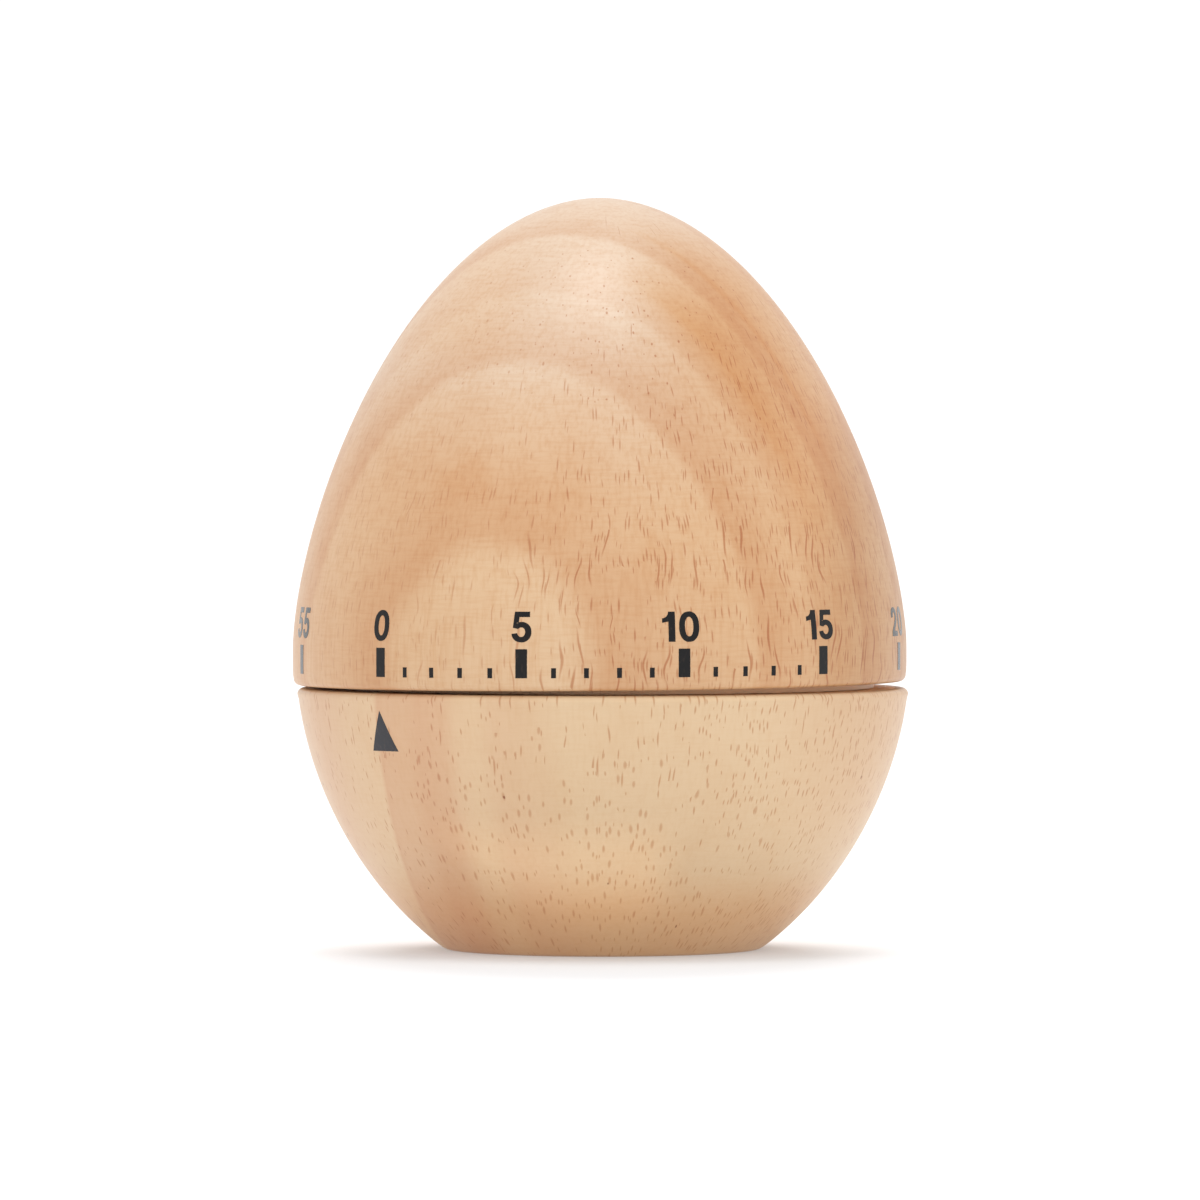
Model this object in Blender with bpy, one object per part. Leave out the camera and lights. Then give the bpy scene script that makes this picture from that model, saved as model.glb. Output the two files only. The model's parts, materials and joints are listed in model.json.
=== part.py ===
"""Wooden egg-shaped kitchen timer with its clockwork.

The upper half is the dial. It turns on a vertical arbor and winds a mainspring. A three-stage
wheel train and a pin-pallet escapement let it run back to zero, where a hammer rings a bell.
All sizes below are in millimetres. The origin is the centre of the foot, with +Z up and the
front of the scale facing -Y.
"""

from math import acos, atan2, cos, degrees, pi, radians, sin, sqrt, tan

import bmesh
import bpy
from mathutils import Matrix, Vector

MM = 0.001

# The egg
HEIGHT = 73.4
BODY_RADIUS = 30.0
LOWER_BULGE_Z, LOWER_SEMI_HEIGHT, LOWER_POWER = 28.0, 33.2, 1.8
UPPER_BULGE_Z, UPPER_POWER, UPPER_ROOT = 29.8, 1.54, 0.515
SEAM_Z, SEAM_GAP, RIM_ROUNDING = 25.85, 0.6, 0.6
FOOT_ROUNDING, FOOT_RECESS_RADIUS, FOOT_RECESS = 1.5, 10.5, 0.6
EGG_SEGMENTS = 40

# The hollows turned into the two halves
CASE_BORE, CASE_SHOULDER_Z = 23.0, 12.0
BELL_BORE, CASE_FLOOR_Z = 16.0, 4.0
DIAL_BORE, DIAL_CEILING_Z = 21.0, 36.0
DIAL_LIP_RADIUS, DIAL_LIP_DEPTH = 22.3, 1.5
DIAL_STEP_RADIUS, DIAL_STEP_DEPTH = 26.5, 0.4
SOUND_HOLES, SOUND_HOLE_RADIUS, SOUND_HOLE_RING = 6, 1.5, 7.0

# The movement's plates and pillars
PLATE = 0.8
BACK_PLATE_Z, BACK_PLATE_RADIUS = 12.05, 22.6
FRONT_PLATE_Z, FRONT_PLATE_RADIUS = 25.0, 18.2
PILLAR_RING, PILLAR_RADIUS, PILLAR_ANGLES = 16.5, 1.4, (128, 270, 320)
CASE_SCREW_RING, CASE_SCREW_ANGLES = 20.6, (100, 220, 340)

# Clearances
SEAT_GAP = 0.05
RUNNING = 0.05

# The wheel train: 48-tooth wheels drive 8-leaf pinions
WHEEL_TEETH, PINION_LEAVES = 48, 8
PRESSURE_ANGLE = radians(30)
ADDENDUM, DEDENDUM, TOOTH_FILL = 0.8, 1.0, 0.88
GREAT_MODULE, SECOND_MODULE, THIRD_MODULE = 0.50, 0.33, 0.30
MESH_EASE = 0.04
WHEEL_THICKNESS = 0.8
SECOND_ANGLE, THIRD_RING, ESCAPE_RING, ANCHOR_RING = 0, 13.2, 14.0, 14.5
STRIKE_ANGLE, STRIKE_RING_HAMMER = 235, 14.2

# Levels of the wheels, as the height of each one's lower face
THIRD_WHEEL_Z, SECOND_WHEEL_Z, ESCAPE_WHEEL_Z = 13.4, 14.9, 14.8
GREAT_WHEEL_Z, RATCHET_Z, STRIKE_GEAR_Z, CAM_Z = 16.4, 17.5, 19.2, 20.9
STAR_WHEEL_Z, BALANCE_Z = 22.3, 21.2

# Arbors and their pivots
MAIN_ARBOR, MAIN_PIVOT, TRAIN_ARBOR, TRAIN_PIVOT = 2.0, 1.0, 0.75, 0.45
DRIVE_FLAT = 1.5

# The escapement and the strike share one pattern: pins on a rocking plate beside a toothed wheel
TIP_RADIUS, ROCKER_DISTANCE, PIN_RADIUS = 5.0, 7.3, 0.3
PIN_REACH, PIN_HALF_ANGLE = 5.66, radians(30)

# Click on the great wheel: its pin, its tip in the ratchet, and its spring's foot
CLICK_RING, CLICK_ANGLE, CLICK_TIP_RING, CLICK_TIP_ANGLE, CLICK_TAIL = 7.4, 60, 3.78, 28.6, 1.6
CLICK_FOOT_RING, CLICK_FOOT_ANGLE, CLICK_FOOT_INSET = 9.4, 128, 0.7

# Cam, stops and trip lever
CAM_RADIUS, CAM_NOTCH_RADIUS, CAM_NOTCH_ANGLE = 8.0, 7.3, 148
STOP_RING, STOP_PIN_RADIUS, STOP_ANGLE, STOP_OFFSET = 7.1, 0.4, 40, 7.2
LEVER_RING, LEVER_ANGLE, LEVER_STUD, LEVER_BOSS = 13.0, 165, 0.9, 2.0
LEVER_HOOK, LEVER_HOOK_HALF = ((-0.95, 0.9), (-0.8, -0.75), (0.1, -1.05)), 0.35

# Spring drum, hub and bell
DRUM_RADIUS, DRUM_FLANGE, DRUM_WALL, DRUM_TOP_Z = 11.6, 14.4, 0.6, 32.4
DRUM_SCREW_RING, DRUM_SCREW_ANGLES = 13.1, (60, 180, 300)
SPRING_TURNS, SPRING_THICKNESS, SPRING_INNER, SPRING_OUTER = 7, 0.3, 2.25, 10.75
HUB_FLANGE, HUB_FLANGE_Z, HUB_BOSS, HUB_TOP_Z = 9.5, 34.0, 5.0, 46.0
HUB_SCREW_RING, HUB_SCREW_ANGLES = 7.5, (30, 150, 270)
BELL_RADIUS, BELL_WALL, BELL_MOUTH_Z, BELL_CROWN_Z = 11.5, 0.8, 5.2, 10.1
HAMMER_ARM, HAMMER_HEAD_RING, HAMMER_HEAD = 8.0, 13.2, 1.2

MATERIALS = {
    "dial_wood": ((0.75, 0.50, 0.31), 0.45, 0.0),
    "base_wood": ((0.78, 0.57, 0.36), 0.45, 0.0),
    "steel": ((0.62, 0.62, 0.63), 0.35, 1.0),
    "spring_steel": ((0.30, 0.33, 0.38), 0.30, 1.0),
    "brass": ((0.78, 0.60, 0.28), 0.30, 1.0),
    "bell_chrome": ((0.80, 0.80, 0.82), 0.15, 1.0),
    "hub_plastic": ((0.10, 0.10, 0.11), 0.50, 0.0),
}


def make_material(name):
    colour, roughness, metallic = MATERIALS[name]
    material = bpy.data.materials.new(name)
    material.use_nodes = True
    shader = material.node_tree.nodes["Principled BSDF"]
    shader.inputs["Base Color"].default_value = (*colour, 1)
    shader.inputs["Roughness"].default_value = roughness
    shader.inputs["Metallic"].default_value = metallic


def polar(ring, angle_deg):
    return ring * cos(radians(angle_deg)), ring * sin(radians(angle_deg))


def circle(radius, segments, centre=(0, 0)):
    return [
        (centre[0] + radius * cos(2 * pi * k / segments), centre[1] + radius * sin(2 * pi * k / segments))
        for k in range(segments)
    ]


def axis_empty(name, place=(0, 0), parent=None):
    """An empty on a joint's axis. What is parented to it is modelled around its own axis."""
    empty = bpy.data.objects.new(name, None)
    empty.empty_display_size = 0.005
    bpy.context.collection.objects.link(empty)
    empty.location = (place[0] * MM, place[1] * MM, 0)
    empty.parent = parent
    return empty


def add_object(name, bm, material, parent=None, turn=0.0):
    """Turns a bmesh in millimetres into an object in metres. turn is about its own Z axis."""
    bmesh.ops.scale(bm, vec=Vector((MM, MM, MM)), verts=bm.verts)
    bmesh.ops.recalc_face_normals(bm, faces=bm.faces)
    mesh = bpy.data.meshes.new(name)
    bm.to_mesh(mesh)
    bm.free()
    mesh.shade_smooth()
    mesh.set_sharp_from_angle(angle=radians(35))
    if material:
        mesh.materials.append(bpy.data.materials[material])
    made = bpy.data.objects.new(name, mesh)
    bpy.context.collection.objects.link(made)
    made.parent = parent
    made.rotation_euler.z = turn
    return made


def add_prism(bm, outline, bottom, top):
    """Extrudes a flat outline from one height to another, inside bm."""
    face = bm.faces.new([bm.verts.new((x, y, bottom)) for x, y in outline])
    grown = bmesh.ops.extrude_face_region(bm, geom=[face])["geom"]
    raised = [v for v in grown if isinstance(v, bmesh.types.BMVert)]
    bmesh.ops.translate(bm, vec=(0, 0, top - bottom), verts=raised)


def turned(name, profile, material, parent=None, segments=24):
    """A lathe-turned piece. The profile is a closed loop, and its edges on the axis are left out."""
    bm = bmesh.new()
    corners = [bm.verts.new((r, 0, z)) for r, z in profile]
    pairs = zip(corners, corners[1:] + corners[:1])
    edges = [bm.edges.new(pair) for pair in pairs if pair[0].co.x + pair[1].co.x > 0]
    bmesh.ops.spin(
        bm, geom=corners + edges, cent=(0, 0, 0), axis=(0, 0, 1), angle=2 * pi, steps=segments,
        use_merge=True,
    )
    bmesh.ops.remove_doubles(bm, verts=bm.verts, dist=1e-4)
    return add_object(name, bm, material, parent)


def drill(piece, holes, segments=8):
    """Cuts round holes, each (x, y, radius, bottom, top), whose flats lie at the stated radius."""
    bm = bmesh.new()
    for x, y, radius, bottom, top in holes:
        add_prism(bm, circle(radius / cos(pi / segments), segments, (x, y)), bottom, top)
    return cut_with(piece, bm)


def cut_with(piece, bm, operation="DIFFERENCE"):
    cutter = add_object(f"{piece.name}_tool", bm, None, piece.parent, piece.rotation_euler.z)
    cutter.hide_render = True
    cutter.display_type = "WIRE"
    modifier = piece.modifiers.new("cut", "BOOLEAN")
    modifier.operation = operation
    modifier.object = cutter
    return piece


def plate(name, outline, bottom, top, material, parent=None, holes=(), turn=0.0):
    """A flat piece with round holes, each (x, y, radius), right through it."""
    bm = bmesh.new()
    add_prism(bm, outline, bottom, top)
    piece = add_object(name, bm, material, parent, turn)
    if holes:
        drill(piece, [(x, y, radius, bottom - 1, top + 1) for x, y, radius in holes])
    return piece


def screw(name, place, head, head_radius, shank, shank_radius, material="steel"):
    """A round-headed screw along Z. head and shank are (start, end) heights that meet."""
    end, tip = shank[1], shank[1] + (0.8 if shank[1] > shank[0] else -0.8) * shank_radius
    profile = [
        (0, head[0]),
        (0.75 * head_radius, head[0]),
        (head_radius, head[0] + 0.35 * (head[1] - head[0])),
        (head_radius, head[1]),
        (shank_radius, shank[0]),
        (shank_radius, end),
        (0.35 * shank_radius, tip),
        (0, tip),
    ]
    made = turned(name, profile, material, segments=10)
    made.location = (place[0] * MM, place[1] * MM, 0)
    return made


def strip_outline(points, half_widths):
    """The outline of a bent bar through points, with a half width at each one."""
    left, right = [], []
    for i, (point, half) in enumerate(zip(points, half_widths)):
        before, after = Vector(points[max(i - 1, 0)]), Vector(points[min(i + 1, len(points) - 1)])
        along = (after - before).normalized()
        side = Vector((-along.y, along.x)) * half
        left.append(tuple(Vector(point) + side))
        right.append(tuple(Vector(point) - side))
    return left + right[::-1]


# ---------------------------------------------------------------- the wooden egg


def lower_radius(z):
    """Outer radius below the bulge: close to an ellipse, cut off by the foot."""
    share = max(0.0, (LOWER_BULGE_Z - z) / LOWER_SEMI_HEIGHT)
    return BODY_RADIUS * sqrt(1 - share**LOWER_POWER)


def upper_radius(z):
    """Outer radius above the bulge, drawn in towards a round top."""
    share = (z - UPPER_BULGE_Z) / (HEIGHT - UPPER_BULGE_Z)
    return BODY_RADIUS * (1 - share**UPPER_POWER) ** UPPER_ROOT


def arc(centre, radius, start, end, steps):
    return [
        (
            centre[0] + radius * cos(radians(start + (end - start) * k / steps)),
            centre[1] + radius * sin(radians(start + (end - start) * k / steps)),
        )
        for k in range(steps + 1)
    ]


def foot_edge():
    """The rounded edge between the flat foot and the side, as an arc that meets both."""
    run = 1.0
    slope = atan2(run, lower_radius(run) - lower_radius(0))
    reach = FOOT_ROUNDING * tan(slope / 2)
    centre = (lower_radius(0) - reach, FOOT_ROUNDING)
    return arc(centre, FOOT_ROUNDING, -90, -90 + degrees(slope), 3)


def make_lower_shell():
    rim_z = SEAM_Z - SEAM_GAP / 2
    rim = lower_radius(rim_z) - RIM_ROUNDING
    edge = foot_edge()
    low, high, steps = edge[-1][1] + 1.0, rim_z - 1.4, 7
    side = [low + (high - low) * k / steps for k in range(steps + 1)]
    profile = [(0, FOOT_RECESS), (FOOT_RECESS_RADIUS, FOOT_RECESS), (FOOT_RECESS_RADIUS + 0.3, 0)]
    profile += edge
    profile += [(lower_radius(z), z) for z in side]
    profile += arc((rim, rim_z - RIM_ROUNDING), RIM_ROUNDING, 0, 90, 2)
    profile += [
        (CASE_BORE, rim_z),
        (CASE_BORE, CASE_SHOULDER_Z),
        (BELL_BORE, CASE_SHOULDER_Z),
        (BELL_BORE, CASE_FLOOR_Z + 1.5),
        (BELL_BORE - 1.5, CASE_FLOOR_Z),
        (0, CASE_FLOOR_Z),
    ]
    shell = turned("lower_shell", profile, "base_wood", segments=EGG_SEGMENTS)
    holes = []
    for k in range(SOUND_HOLES):
        place = polar(SOUND_HOLE_RING, 360 * k / SOUND_HOLES)
        holes.append((*place, SOUND_HOLE_RADIUS, -1, CASE_FLOOR_Z + 1))
    for angle in CASE_SCREW_ANGLES:
        holes.append((*polar(CASE_SCREW_RING, angle), 0.95, 7.4, CASE_SHOULDER_Z + 1))
    drill(shell, holes)


def make_upper_shell(dial):
    rim_z = SEAM_Z + SEAM_GAP / 2
    rim = lower_radius(rim_z) - RIM_ROUNDING
    rise, steps = HEIGHT - UPPER_BULGE_Z, 13
    # a lip below the rim centres the dial in the case's bore, and a shallow step narrows the seam
    lip_z, step_z = rim_z - DIAL_LIP_DEPTH, rim_z - DIAL_STEP_DEPTH
    profile = [(DIAL_BORE, lip_z), (DIAL_LIP_RADIUS, lip_z), (DIAL_LIP_RADIUS, step_z)]
    profile += [(DIAL_STEP_RADIUS, step_z), (DIAL_STEP_RADIUS, rim_z)]
    profile += arc((rim, rim_z + RIM_ROUNDING), RIM_ROUNDING, -90, 0, 2)
    profile.append((lower_radius(rim_z + 1.8), rim_z + 1.8))
    # equal angles of a quarter turn crowd the points where the top curves most
    heights = [UPPER_BULGE_Z + rise * sin(pi / 2 * k / steps) for k in range(steps)]
    profile += [(upper_radius(z), z) for z in heights]
    profile += [(0, HEIGHT), (0, HUB_TOP_Z + 0.5), (HUB_BOSS + 0.1, HUB_TOP_Z + 0.5)]
    profile += [(HUB_BOSS + 0.1, DIAL_CEILING_Z), (DIAL_BORE, DIAL_CEILING_Z)]
    shell = turned("upper_shell", profile, "dial_wood", dial, EGG_SEGMENTS)
    pilot = [(*polar(HUB_SCREW_RING, a), 0.95, DIAL_CEILING_Z - 1, 42.5) for a in HUB_SCREW_ANGLES]
    drill(shell, pilot)


# ---------------------------------------------------------------- gears and rockers


def involute(angle):
    return tan(angle) - angle


def gear_outline(teeth, module):
    """Involute teeth, with flanks drawn as chords so that they never reach past the true curve.

    A wheel's flanks are nearly straight and take one chord each. A pinion's take two.
    """
    pitch = module * teeth / 2
    base = pitch * cos(PRESSURE_ANGLE)
    half_tooth = TOOTH_FILL * pi / (2 * teeth)

    def half_angle(radius):
        return half_tooth + involute(PRESSURE_ANGLE) - involute(acos(min(1, base / radius)))

    radii = [pitch - DEDENDUM * module, pitch + ADDENDUM * module]
    if teeth == PINION_LEAVES:
        radii.insert(1, pitch)
    flank = [(r, half_angle(r)) for r in radii]
    outline = []
    for k in range(teeth):
        middle = 2 * pi * k / teeth
        for r, half in flank:
            outline.append((r * cos(middle - half), r * sin(middle - half)))
        for r, half in reversed(flank):
            outline.append((r * cos(middle + half), r * sin(middle + half)))
    return outline


def saw_outline(teeth, root, tip, lean=0.7, flat=0.12):
    """Ratchet-like teeth: one steep side, one long side. lean is the long side's share of the pitch."""
    outline = []
    for k in range(teeth):
        start = 2 * pi * k / teeth
        for radius, share in ((root, 0.0), (tip, lean), (tip, lean + flat)):
            angle = start + 2 * pi / teeth * share
            outline.append((radius * cos(angle), radius * sin(angle)))
    return outline


def mesh_phase(line_angle, phase, teeth, other_teeth):
    """How far a gear is turned so that its gap meets the tooth of the gear that drives it.

    line_angle points from the driving gear to this one; phase is the driving gear's own turn.
    """
    return line_angle + pi - pi / other_teeth - (phase - line_angle) * teeth / other_teeth


def angle_between(a, b):
    return atan2(b[1] - a[1], b[0] - a[0])


def arbor_with_pinion(name, parent, module, pinion_z, turn):
    """A steel arbor with a pivot at each end and, where its pinion is, eight leaves cut into it."""
    low_z, high_z = BACK_PLATE_Z, FRONT_PLATE_Z + PLATE
    shoulder_low, shoulder_high = low_z + PLATE + 0.15, high_z - PLATE - 0.15
    profile = [
        (0, low_z + 0.05),
        (TRAIN_PIVOT, low_z + 0.05),
        (TRAIN_PIVOT, shoulder_low),
        (TRAIN_ARBOR, shoulder_low),
        (TRAIN_ARBOR, shoulder_high),
        (TRAIN_PIVOT, shoulder_high),
        (TRAIN_PIVOT, high_z - 0.05),
        (0, high_z - 0.05),
    ]
    arbor = turned(name, profile, "steel", parent, segments=10)
    arbor.rotation_euler.z = turn
    bm = bmesh.new()
    add_prism(bm, gear_outline(PINION_LEAVES, module), *pinion_z)
    return cut_with(arbor, bm, "UNION")


def wheel(name, parent, module, bottom, turn, bore=TRAIN_ARBOR, teeth=WHEEL_TEETH):
    """A brass wheel pressed on its arbor, with four round holes that lighten it."""
    rim = module * teeth / 2 - DEDENDUM * module
    holes = [(0, 0, bore + 0.04)]
    spoke_ring, spoke_hole = 0.56 * rim + 0.4 * bore, 0.27 * rim
    holes += [(*polar(spoke_ring, 45 + 90 * k), spoke_hole) for k in range(4)]
    return plate(
        name, gear_outline(teeth, module), bottom, bottom + WHEEL_THICKNESS, "brass", parent, holes, turn
    )


def rocker_pins():
    """Where the two pins stand, around a rocker's arbor, with +X towards the toothed wheel."""
    along = ROCKER_DISTANCE - PIN_REACH * cos(PIN_HALF_ANGLE)
    return [(along, side * PIN_REACH * sin(PIN_HALF_ANGLE)) for side in (1, -1)]


def rocker_plate(name, parent, bottom, turn, arbor_radius, tail=1.6):
    """The V-shaped plate that carries the two pins."""
    (pin_x, pin_y), _ = rocker_pins()
    half = [(-tail, 0), (-0.9, 1.0), (0.3, 1.7), (pin_x - 0.2, pin_y + 0.6), (pin_x + 0.6, pin_y + 0.4)]
    half += [(pin_x + 0.6, pin_y - 0.5), (1.7, 0)]
    outline = half + [(x, -y) for x, y in half[-2:0:-1]]
    holes = [(0, 0, arbor_radius + 0.04)] + [(x, y, PIN_RADIUS + 0.03) for x, y in rocker_pins()]
    return plate(name, outline[::-1], bottom, bottom + 0.7, "steel", parent, holes, turn)


def rocker_pin(name, parent, place, bottom, top, turn):
    """One pin. It is modelled at its own place, so that it turns with the rocker's empty."""
    bm = bmesh.new()
    add_prism(bm, circle(PIN_RADIUS, 8, place), bottom, top)
    return add_object(name, bm, "steel", parent, turn)


# ---------------------------------------------------------------- where the arbors stand


def third_corner(ring_a, angle_a, ring_b, distance):
    """The angle at which a point on ring_b is the given distance from the point at ring_a, angle_a."""
    share = (ring_a**2 + ring_b**2 - distance**2) / (2 * ring_a * ring_b)
    return angle_a + degrees(acos(share))


def centre_distance(module):
    return module * (WHEEL_TEETH + PINION_LEAVES) / 2 + MESH_EASE


SECOND_RING = centre_distance(GREAT_MODULE)
SECOND = polar(SECOND_RING, SECOND_ANGLE)
THIRD_ANGLE = third_corner(SECOND_RING, SECOND_ANGLE, THIRD_RING, centre_distance(SECOND_MODULE))
THIRD = polar(THIRD_RING, THIRD_ANGLE)
ESCAPE_ANGLE = third_corner(THIRD_RING, THIRD_ANGLE, ESCAPE_RING, centre_distance(THIRD_MODULE))
ESCAPE = polar(ESCAPE_RING, ESCAPE_ANGLE)
ANCHOR_ANGLE = third_corner(ESCAPE_RING, ESCAPE_ANGLE, ANCHOR_RING, ROCKER_DISTANCE)
ANCHOR = polar(ANCHOR_RING, ANCHOR_ANGLE)
STRIKE = polar(SECOND_RING, STRIKE_ANGLE)
HAMMER_TURN = third_corner(SECOND_RING, STRIKE_ANGLE, STRIKE_RING_HAMMER, ROCKER_DISTANCE) - STRIKE_ANGLE
HAMMER_ANGLE = STRIKE_ANGLE - HAMMER_TURN
HAMMER = polar(STRIKE_RING_HAMMER, HAMMER_ANGLE)
LEVER = polar(LEVER_RING, LEVER_ANGLE)
CLICK = polar(CLICK_RING, CLICK_ANGLE)
CLICK_FOOT = polar(CLICK_FOOT_RING, CLICK_FOOT_ANGLE - degrees(CLICK_FOOT_INSET / CLICK_FOOT_RING))
PILLARS = [polar(PILLAR_RING, a) for a in PILLAR_ANGLES]
HAMMER_SHAFT = 0.9


# ---------------------------------------------------------------- the movement's frame


def make_plates():
    pivots = [SECOND, THIRD, ESCAPE, ANCHOR, STRIKE]
    back = [(*p, TRAIN_PIVOT + RUNNING) for p in pivots]
    back += [(*HAMMER, HAMMER_SHAFT + RUNNING), (0, 0, 2.25)]
    back += [(*p, 0.95) for p in PILLARS]
    back += [(*polar(CASE_SCREW_RING, a), 1.0) for a in CASE_SCREW_ANGLES]
    rim = circle(BACK_PLATE_RADIUS, 32)
    plate("back_plate", rim, BACK_PLATE_Z, BACK_PLATE_Z + PLATE, "steel", holes=back)
    front = [(*p, TRAIN_PIVOT + RUNNING) for p in pivots + [HAMMER]]
    front += [(0, 0, MAIN_ARBOR + RUNNING), (*LEVER, 0.65)]
    front += [(*polar(STOP_RING, STOP_ANGLE + STOP_OFFSET), STOP_PIN_RADIUS + 0.03)]
    front += [(*p, 0.8) for p in PILLARS]
    front += [(*polar(DRUM_SCREW_RING, a), 0.8) for a in DRUM_SCREW_ANGLES]
    rim = circle(FRONT_PLATE_RADIUS, 32)
    plate("front_plate", rim, FRONT_PLATE_Z, FRONT_PLATE_Z + PLATE, "steel", holes=front)


def make_pillars():
    """Turned pillars, riveted into the back plate and tapped for a screw at the front plate."""
    foot_z, top_z = BACK_PLATE_Z + PLATE + SEAT_GAP, FRONT_PLATE_Z - SEAT_GAP
    profile = [
        (0, BACK_PLATE_Z + SEAT_GAP),
        (0.9, BACK_PLATE_Z + SEAT_GAP),
        (0.9, foot_z),
        (PILLAR_RADIUS, foot_z),
        (PILLAR_RADIUS, top_z),
        (0.75, top_z),
        (0.75, 20.5),
        (0, 20.5),
    ]
    for k, place in enumerate(PILLARS, 1):
        pillar = turned(f"pillar_{k}", profile, "steel", segments=12)
        pillar.location = (place[0] * MM, place[1] * MM, 0)
        top = FRONT_PLATE_Z + PLATE + SEAT_GAP
        screw(f"pillar_screw_{k}", place, (top + 0.8, top), 1.4, (top, 21.5), 0.7)


def make_case_screws():
    seat = BACK_PLATE_Z + PLATE + SEAT_GAP
    for k, angle in enumerate(CASE_SCREW_ANGLES, 1):
        screw(f"case_screw_{k}", polar(CASE_SCREW_RING, angle), (seat + 0.9, seat), 1.6, (seat, 8.4), 0.85)


def make_bell():
    """A steel cup bell, mouth down over the sound holes, on a post riveted into the back plate."""
    crown, mouth = BELL_CROWN_Z, BELL_MOUTH_Z
    shoulder = crown - 3.0
    outside = [(BELL_RADIUS, mouth)] + arc((BELL_RADIUS - 3.0, shoulder), 3.0, 0, 75, 3) + [(1.1, crown)]
    inner = BELL_RADIUS - BELL_WALL
    inside = [(1.1, crown - BELL_WALL)] + arc((inner - 2.2, shoulder), 2.2, 75, 0, 3) + [(inner, mouth)]
    turned("bell", outside + inside, "bell_chrome", segments=28)
    top, seat = BACK_PLATE_Z + PLATE + 0.45, crown + SEAT_GAP
    flange = BACK_PLATE_Z + PLATE + SEAT_GAP
    hole = MAIN_PIVOT + RUNNING + 0.02
    profile = [
        (0, 11.7), (1.05, 11.7), (1.05, seat), (3.0, seat), (3.0, BACK_PLATE_Z - SEAT_GAP),
        (2.2, BACK_PLATE_Z - SEAT_GAP), (2.2, flange), (3.0, flange), (3.0, top),
        (hole, top), (hole, 12.0), (0, 12.0),
    ]
    turned("bell_post", profile, "brass", segments=16)
    under = crown - BELL_WALL - SEAT_GAP
    screw("bell_screw", (0, 0), (under - 1.1, under), 2.4, (under, 10.8), 0.95)


# ---------------------------------------------------------------- what turns with the dial


def drive_outline(radius, flat, segments=18):
    """A circle with one flat side, around the arbor's drive. Its edges lie outside the radius."""
    outer = radius / cos(pi / segments)
    start = acos(flat / outer)
    sweep = 2 * pi - 2 * start
    return [
        (outer * cos(start + sweep * k / segments), outer * sin(start + sweep * k / segments))
        for k in range(segments + 1)
    ]


def make_main_arbor(dial):
    top = HUB_TOP_Z - 2.0
    profile = [
        (0, 12.1), (MAIN_PIVOT, 12.1), (MAIN_PIVOT, 13.6), (MAIN_ARBOR, 13.6),
        (MAIN_ARBOR, GREAT_WHEEL_Z - 0.6), (2.9, GREAT_WHEEL_Z - 0.6),
        (2.9, GREAT_WHEEL_Z - 0.1), (MAIN_ARBOR, GREAT_WHEEL_Z - 0.1),
        (MAIN_ARBOR, top - 0.4), (MAIN_ARBOR - 0.4, top), (0, top),
    ]
    arbor = turned("main_arbor", profile, "steel", dial, segments=16)
    bm = bmesh.new()
    add_prism(bm, [(DRIVE_FLAT, -3), (4, -3), (4, 3), (DRIVE_FLAT, 3)], DRUM_TOP_Z + 1, top + 1)
    cut_with(arbor, bm)


def make_hub(dial):
    """The moulded hub that joins the wooden dial to the arbor, held by three wood screws."""
    flange_top = DIAL_CEILING_Z - SEAT_GAP
    profile = [
        (0, HUB_FLANGE_Z), (HUB_FLANGE, HUB_FLANGE_Z), (HUB_FLANGE, flange_top),
        (HUB_BOSS, flange_top), (HUB_BOSS, HUB_TOP_Z - 0.5), (HUB_BOSS - 0.5, HUB_TOP_Z), (0, HUB_TOP_Z),
    ]
    hub = turned("dial_hub", profile, "hub_plastic", dial, segments=24)
    bm = bmesh.new()
    bore = drive_outline(MAIN_ARBOR + RUNNING, DRIVE_FLAT + RUNNING)
    add_prism(bm, bore, HUB_FLANGE_Z - 1, HUB_TOP_Z - 1.5)
    cut_with(hub, bm)
    places = [polar(HUB_SCREW_RING, angle) for angle in HUB_SCREW_ANGLES]
    drill(hub, [(*place, 0.95, HUB_FLANGE_Z - 1, DIAL_CEILING_Z + 1) for place in places])
    seat = HUB_FLANGE_Z - SEAT_GAP
    for k, place in enumerate(places, 1):
        made = screw(f"hub_screw_{k}", place, (seat - 0.8, seat), 1.5, (seat, 41.5), 0.85)
        made.parent = dial


def cam_outline():
    """A disc with one notch, into which the trip lever's nose drops at zero."""
    outline, segments = [], 60
    for k in range(segments):
        angle = 360 * k / segments
        off = abs((angle - CAM_NOTCH_ANGLE + 180) % 360 - 180)
        outline.append(polar(CAM_NOTCH_RADIUS if off < 9 else CAM_RADIUS, angle))
    return outline


def make_dial_works(dial):
    bore = MAIN_ARBOR + 0.04
    plate(
        "strike_gear", gear_outline(WHEEL_TEETH, GREAT_MODULE), STRIKE_GEAR_Z, STRIKE_GEAR_Z + 1.0,
        "brass", dial, [(0, 0, bore)],
    )
    plate(
        "ratchet_wheel", saw_outline(12, 3.3, 4.3), RATCHET_Z, RATCHET_Z + 1.0, "steel", dial,
        [(0, 0, bore)],
    )
    stop = polar(STOP_RING, STOP_ANGLE)
    plate(
        "time_cam", cam_outline(), CAM_Z, CAM_Z + 1.0, "steel", dial,
        [(0, 0, bore), (*stop, STOP_PIN_RADIUS + 0.03)],
    )
    bm = bmesh.new()
    add_prism(bm, circle(STOP_PIN_RADIUS, 12, stop), CAM_Z, 23.4)
    add_object("cam_stop_pin", bm, "steel", dial)
    plate("arbor_collar", circle(3.2, 20), 24.0, FRONT_PLATE_Z - 0.15, "steel", dial, [(0, 0, bore)])


def make_fixed_stop():
    bm = bmesh.new()
    place = polar(STOP_RING, STOP_ANGLE + STOP_OFFSET)
    add_prism(bm, circle(STOP_PIN_RADIUS, 12, place), 22.3, FRONT_PLATE_Z + PLATE - 0.05)
    add_object("fixed_stop_pin", bm, "steel")


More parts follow.
